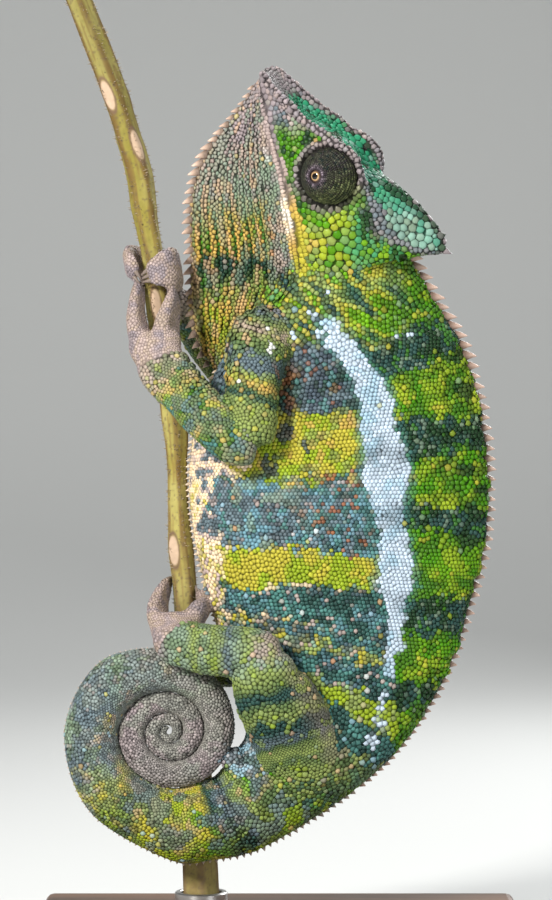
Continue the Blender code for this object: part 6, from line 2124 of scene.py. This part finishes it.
# %% Stem surface and colours
STEM = [(-19.2, 10.0, 14.4, 4.5), (-19.6, 10.0, 25.0, 4.4), (-20.2, 9.6, 40.0, 4.2),
        (-21.0, 7.9, 58.0, 3.8), (-22.0, 4.4, 74.0, 3.3), (-22.8, 1.6, 88.0, 3.0),
        (-24.0, 1.4, 100.0, 3.1), (-24.6, 1.6, 110.0, 2.6), (-24.8, 1.2, 120.0, 2.5),
        (-25.2, 0.4, 130.0, 3.1), (-27.2, 0.0, 143.0, 2.9), (-29.2, 0.3, 156.0, 2.7),
        (-30.6, 0.8, 170.0, 2.7), (-32.5, 1.8, 180.0, 3.0), (-34.0, 3.0, 190.0, 3.4),
        (-36.9, 4.0, 200.0, 3.2), (-40.1, 5.0, 210.0, 3.35), (-43.8, 5.8, 220.0, 3.5),
        (-49.4, 6.6, 234.5, 3.3)]
SCARS = [(209.0, 0.66), (197.0, 0.84), (182.0, 0.30), (158.5, 0.74), (131.0, 0.25), (99.5, 0.66), (72.0, 0.2)]
TWIST = 0.012                   # turn of the ridges, in radians for each millimetre up
RIDGES, RIDGE_DEPTH = 5, 0.055


def stem_row(along):
    """X, Y, Z and radius of the stem at a distance of 0 to 1 up it."""
    return curve(STEM, along * (len(STEM) - 1.0))


def stem_surface(along, around):
    """point = path + level circle * radius * (1 + ridges + swelling at each scar)."""
    here = stem_row(along)
    height, angle = here[:, 2], around * 2 * math.pi
    ridge = RIDGE_DEPTH * np.cos(RIDGES * (angle + height * TWIST)) - RIDGE_DEPTH
    swell = sum(0.05 * bump(height, scar_height, 3.0) for scar_height, _ in SCARS)
    grain = np.column_stack([height * 0.35, 6 * np.cos(angle), 6 * np.sin(angle)])
    radius = here[:, 3] * (1 + ridge + swell + 0.03 * (noise(grain, 1.2, 61) - 0.5))
    return here[:, :3] + np.stack([np.cos(angle), np.sin(angle), 0 * angle], 1) * radius[:, None]


def stem_colours(points, around):
    """Yellow-green between the ridges, brown fuzz and streaks on them, pale scars."""
    angle = around * 2 * math.pi
    height = points[:, 2]
    ridge = 0.5 + 0.5 * np.cos(RIDGES * (angle + height * TWIST))
    streak = noise(np.column_stack([height * 0.16, 5 * np.cos(angle), 5 * np.sin(angle)]), 0.9, 62)
    speck = noise(points, 0.55, 63)
    base = mix(np.tile((0.27, 0.225, 0.040), (len(points), 1)), (0.40, 0.35, 0.12), noise(points, 6.0, 64))
    base = mix(base, (0.17, 0.105, 0.035), np.clip(1.2 * ridge ** 2 * (0.35 + streak) - 0.12, 0, 0.85))
    base = mix(base, (0.20, 0.12, 0.035), 0.5 * step(0.55, 0.75, streak))
    base = base * (1 - 0.28 * step(150, 225, height))[:, None]
    base = mix(base, (0.11, 0.075, 0.045), 0.6 * step(0.66, 0.85, speck))
    base = mix(base, (0.26, 0.20, 0.13), 0.35 * (1 - step(60, 110, height)))
    for scar_height, turn in SCARS:
        away = np.abs((around - turn + 0.5) % 1.0 - 0.5) * 2 * math.pi * 3.0
        mark = np.sqrt((away / 1.5) ** 2 + ((height - scar_height) / 4.2) ** 2)
        base = mix(base, (0.50, 0.36, 0.25), 1 - step(0.75, 0.95, mark))
        base = mix(base, (0.16, 0.10, 0.06), bump(mark, 1.0, 0.14))
    return base


# %% Bark and hairs
STEM_RINGS, STEM_SIDES = 700, 72
points, tris = closed_grid(stem_surface, STEM_RINGS, STEM_SIDES)
around_grid = np.tile(np.arange(STEM_SIDES) / STEM_SIDES, STEM_RINGS)
cut_ends = np.tile((0.62, 0.55, 0.36), (2, 1))
stem_paint = np.vstack([stem_colours(points[:-2], around_grid), cut_ends])
BARK = skin_material("bark_finish", 0.75, tone=(0.7, 1.2), grain=600.0)
perch = ride(store("perch_bark", points, tris, stem_paint), BARK)
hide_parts("perch_stem")

hair = np.random.default_rng(65)
HAIRS = 1500
hair_along, hair_around = 0.16 + 0.83 * hair.random(HAIRS), hair.random(HAIRS)
hair_around = (np.round(hair_around * RIDGES) + 0.25 * hair.normal(0, 1, HAIRS) * 0.6) / RIDGES
here = stem_row(hair_along)
hair_around = hair_around - here[:, 2] * TWIST / (2 * math.pi)
roots = stem_surface(hair_along, hair_around)
out = unit(roots - here[:, :3] + np.array([0.0, 0.0, 0.4]))
out = unit(out + hair.normal(0, 0.25, out.shape))
lean = unit(hair.normal(0, 1, out.shape) + [0, 0, 0.6])
tone = np.tile((0.34, 0.27, 0.18), (HAIRS, 1)) * (0.7 + 0.6 * hair.random((HAIRS, 1)))
cones("perch_fuzz", roots, out, lean, 0.5 + 0.5 * hair.random(HAIRS), np.full(HAIRS, 0.10),
      tone, tone * 1.3, BARK)

# %% [markdown]
# ## The stand
#
# A plain hardwood plate with a turned metal post whose cup holds the cut foot of the stem. The
# plate keeps its own solid and only gets a wood finish; the post is turned again, smoother.

# %% Post
BASE_HEIGHT, CUP_FLOOR, CUP_TOP = 9.6, 13.0, 16.2
ROD_RADIUS, CUP_RADIUS, BORE = 3.4, 6.4, 5.05
POST = [(0.0, BASE_HEIGHT + 0.02), (ROD_RADIUS + 2.3, BASE_HEIGHT + 0.02),
        (ROD_RADIUS + 2.4, BASE_HEIGHT + 0.3), (ROD_RADIUS + 1.6, 10.6), (ROD_RADIUS, 11.0),
        (CUP_RADIUS - 0.8, 12.2), (CUP_RADIUS, 13.2), (CUP_RADIUS, CUP_TOP - 0.3),
        (CUP_RADIUS - 0.3, CUP_TOP), (BORE + 0.2, CUP_TOP), (BORE, CUP_TOP - 0.2),
        (BORE, CUP_FLOOR + 0.6), (BORE - 0.8, CUP_FLOOR + 0.2), (0.0, CUP_FLOOR)]
POST_AT = STEM[0][:2]


def post_surface(along, around):
    """A profile turned about an upright axis."""
    at = along * (len(POST) - 1)
    radius, height = (np.interp(at, np.arange(len(POST)), [row[k] for row in POST]) for k in (0, 1))
    angle = around * 2 * math.pi
    x, y = POST_AT[0] + radius * np.cos(angle), POST_AT[1] + radius * np.sin(angle)
    return np.stack([x, y, height], axis=1)


def set_ramp(node, *stops):
    """Colour stops of a ramp, each a position and a colour."""
    for element, (position, colour) in zip(node.color_ramp.elements, stops):
        element.position = position
        element.color = (*colour, 1.0)


# %% Metal and wood
def metal_material():
    """Brushed steel: rings of fine roughness around the post."""
    material, shader, add, link = new_material("brushed_steel", {"Metallic": 1.0})
    place = add("TexCoord")
    stretch = add("Mapping", {"Scale": (60.0, 60.0, 3000.0)})
    grain = add("TexNoise", {"Scale": 1.0})
    rough = add("MapRange", {"To Min": 0.22, "To Max": 0.40})
    tint = add("ValToRGB")
    set_ramp(tint, (0.0, (0.42, 0.41, 0.40)), (1.0, (0.60, 0.59, 0.57)))
    link(place, "Object", stretch, "Vector")
    link(stretch, "Vector", grain, "Vector")
    link(grain, "Fac", rough, "Value")
    link(grain, "Fac", tint, "Fac")
    link(rough, "Result", shader, "Roughness")
    link(tint, "Color", shader, "Base Color")
    return material


def wood_material():
    """Dark hardwood: long streaks along X, darker pores, a satin finish."""
    material, shader, add, link = new_material("hardwood", {"Roughness": 0.38})
    place = add("TexCoord")
    stretch = add("Mapping", {"Scale": (6.0, 70.0, 70.0)})
    streak = add("TexNoise", {"Scale": 2.2, "Detail": 6.0, "Distortion": 0.6})
    ramp = add("ValToRGB")
    set_ramp(ramp, (0.30, (0.045, 0.022, 0.012)), (0.72, (0.19, 0.10, 0.055)))
    relief = add("Bump", {"Strength": 0.12, "Distance": 0.0004})
    link(place, "Object", stretch, "Vector")
    link(stretch, "Vector", streak, "Vector")
    link(streak, "Fac", ramp, "Fac")
    link(ramp, "Color", shader, "Base Color")
    link(streak, "Fac", relief, "Height")
    link(relief, "Normal", shader, "Normal")
    return material


points, tris = closed_grid(post_surface, (len(POST) - 1) * 4 + 1, 96)
post = ride(store("stand_post", points, tris, smooth=False), metal_material())
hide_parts("stand_rod")
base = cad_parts["stand_base"]
base.data.materials.clear()
base.data.materials.append(wood_material())

# %% [markdown]
# The floor and backdrop are one pale sheet: a profile with a soft bend, carried sideways. It is stage
# dressing and no part of the model.

# %% Floor and backdrop
SHEET = [(-1.6, 0.0), (-0.8, 0.0), (0.0, 0.0), (0.55, 0.0), (0.85, 0.03), (1.05, 0.15), (1.15, 0.40),
         (1.18, 0.9), (1.18, 1.8)]      # Y and Z in metres
SHEET_ROWS, SHEET_COLUMNS, BELOW = 80, 20, 0.0002
rows = curve(SHEET, np.linspace(0, len(SHEET) - 1, SHEET_ROWS))
wide = np.linspace(-1.6, 1.6, SHEET_COLUMNS)
grid = np.stack([np.tile(wide, (SHEET_ROWS, 1)), np.tile(rows[:, :1], (1, SHEET_COLUMNS)),
                 np.tile(rows[:, 1:], (1, SHEET_COLUMNS)) - BELOW], axis=-1).reshape(-1, 3)
at = np.arange(SHEET_ROWS * SHEET_COLUMNS).reshape(SHEET_ROWS, SHEET_COLUMNS)
quads = np.stack([at[:-1, :-1], at[:-1, 1:], at[1:, 1:], at[1:, :-1]], axis=-1).reshape(-1, 4)
sheet = store("backdrop", grid / MM, quads)
paper, *_ = new_material("paper", {"Base Color": (0.62, 0.63, 0.62, 1.0), "Roughness": 0.9})
sheet.data.materials.append(paper)
sheet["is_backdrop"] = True

# %% Sizes and finish
FINAL_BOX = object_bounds()
sizes = {"cad": [list(corner) for corner in CAD_BOX], "visual": [list(corner) for corner in FINAL_BOX]}
print("cad box", sizes["cad"])
print("visual box", sizes["visual"])
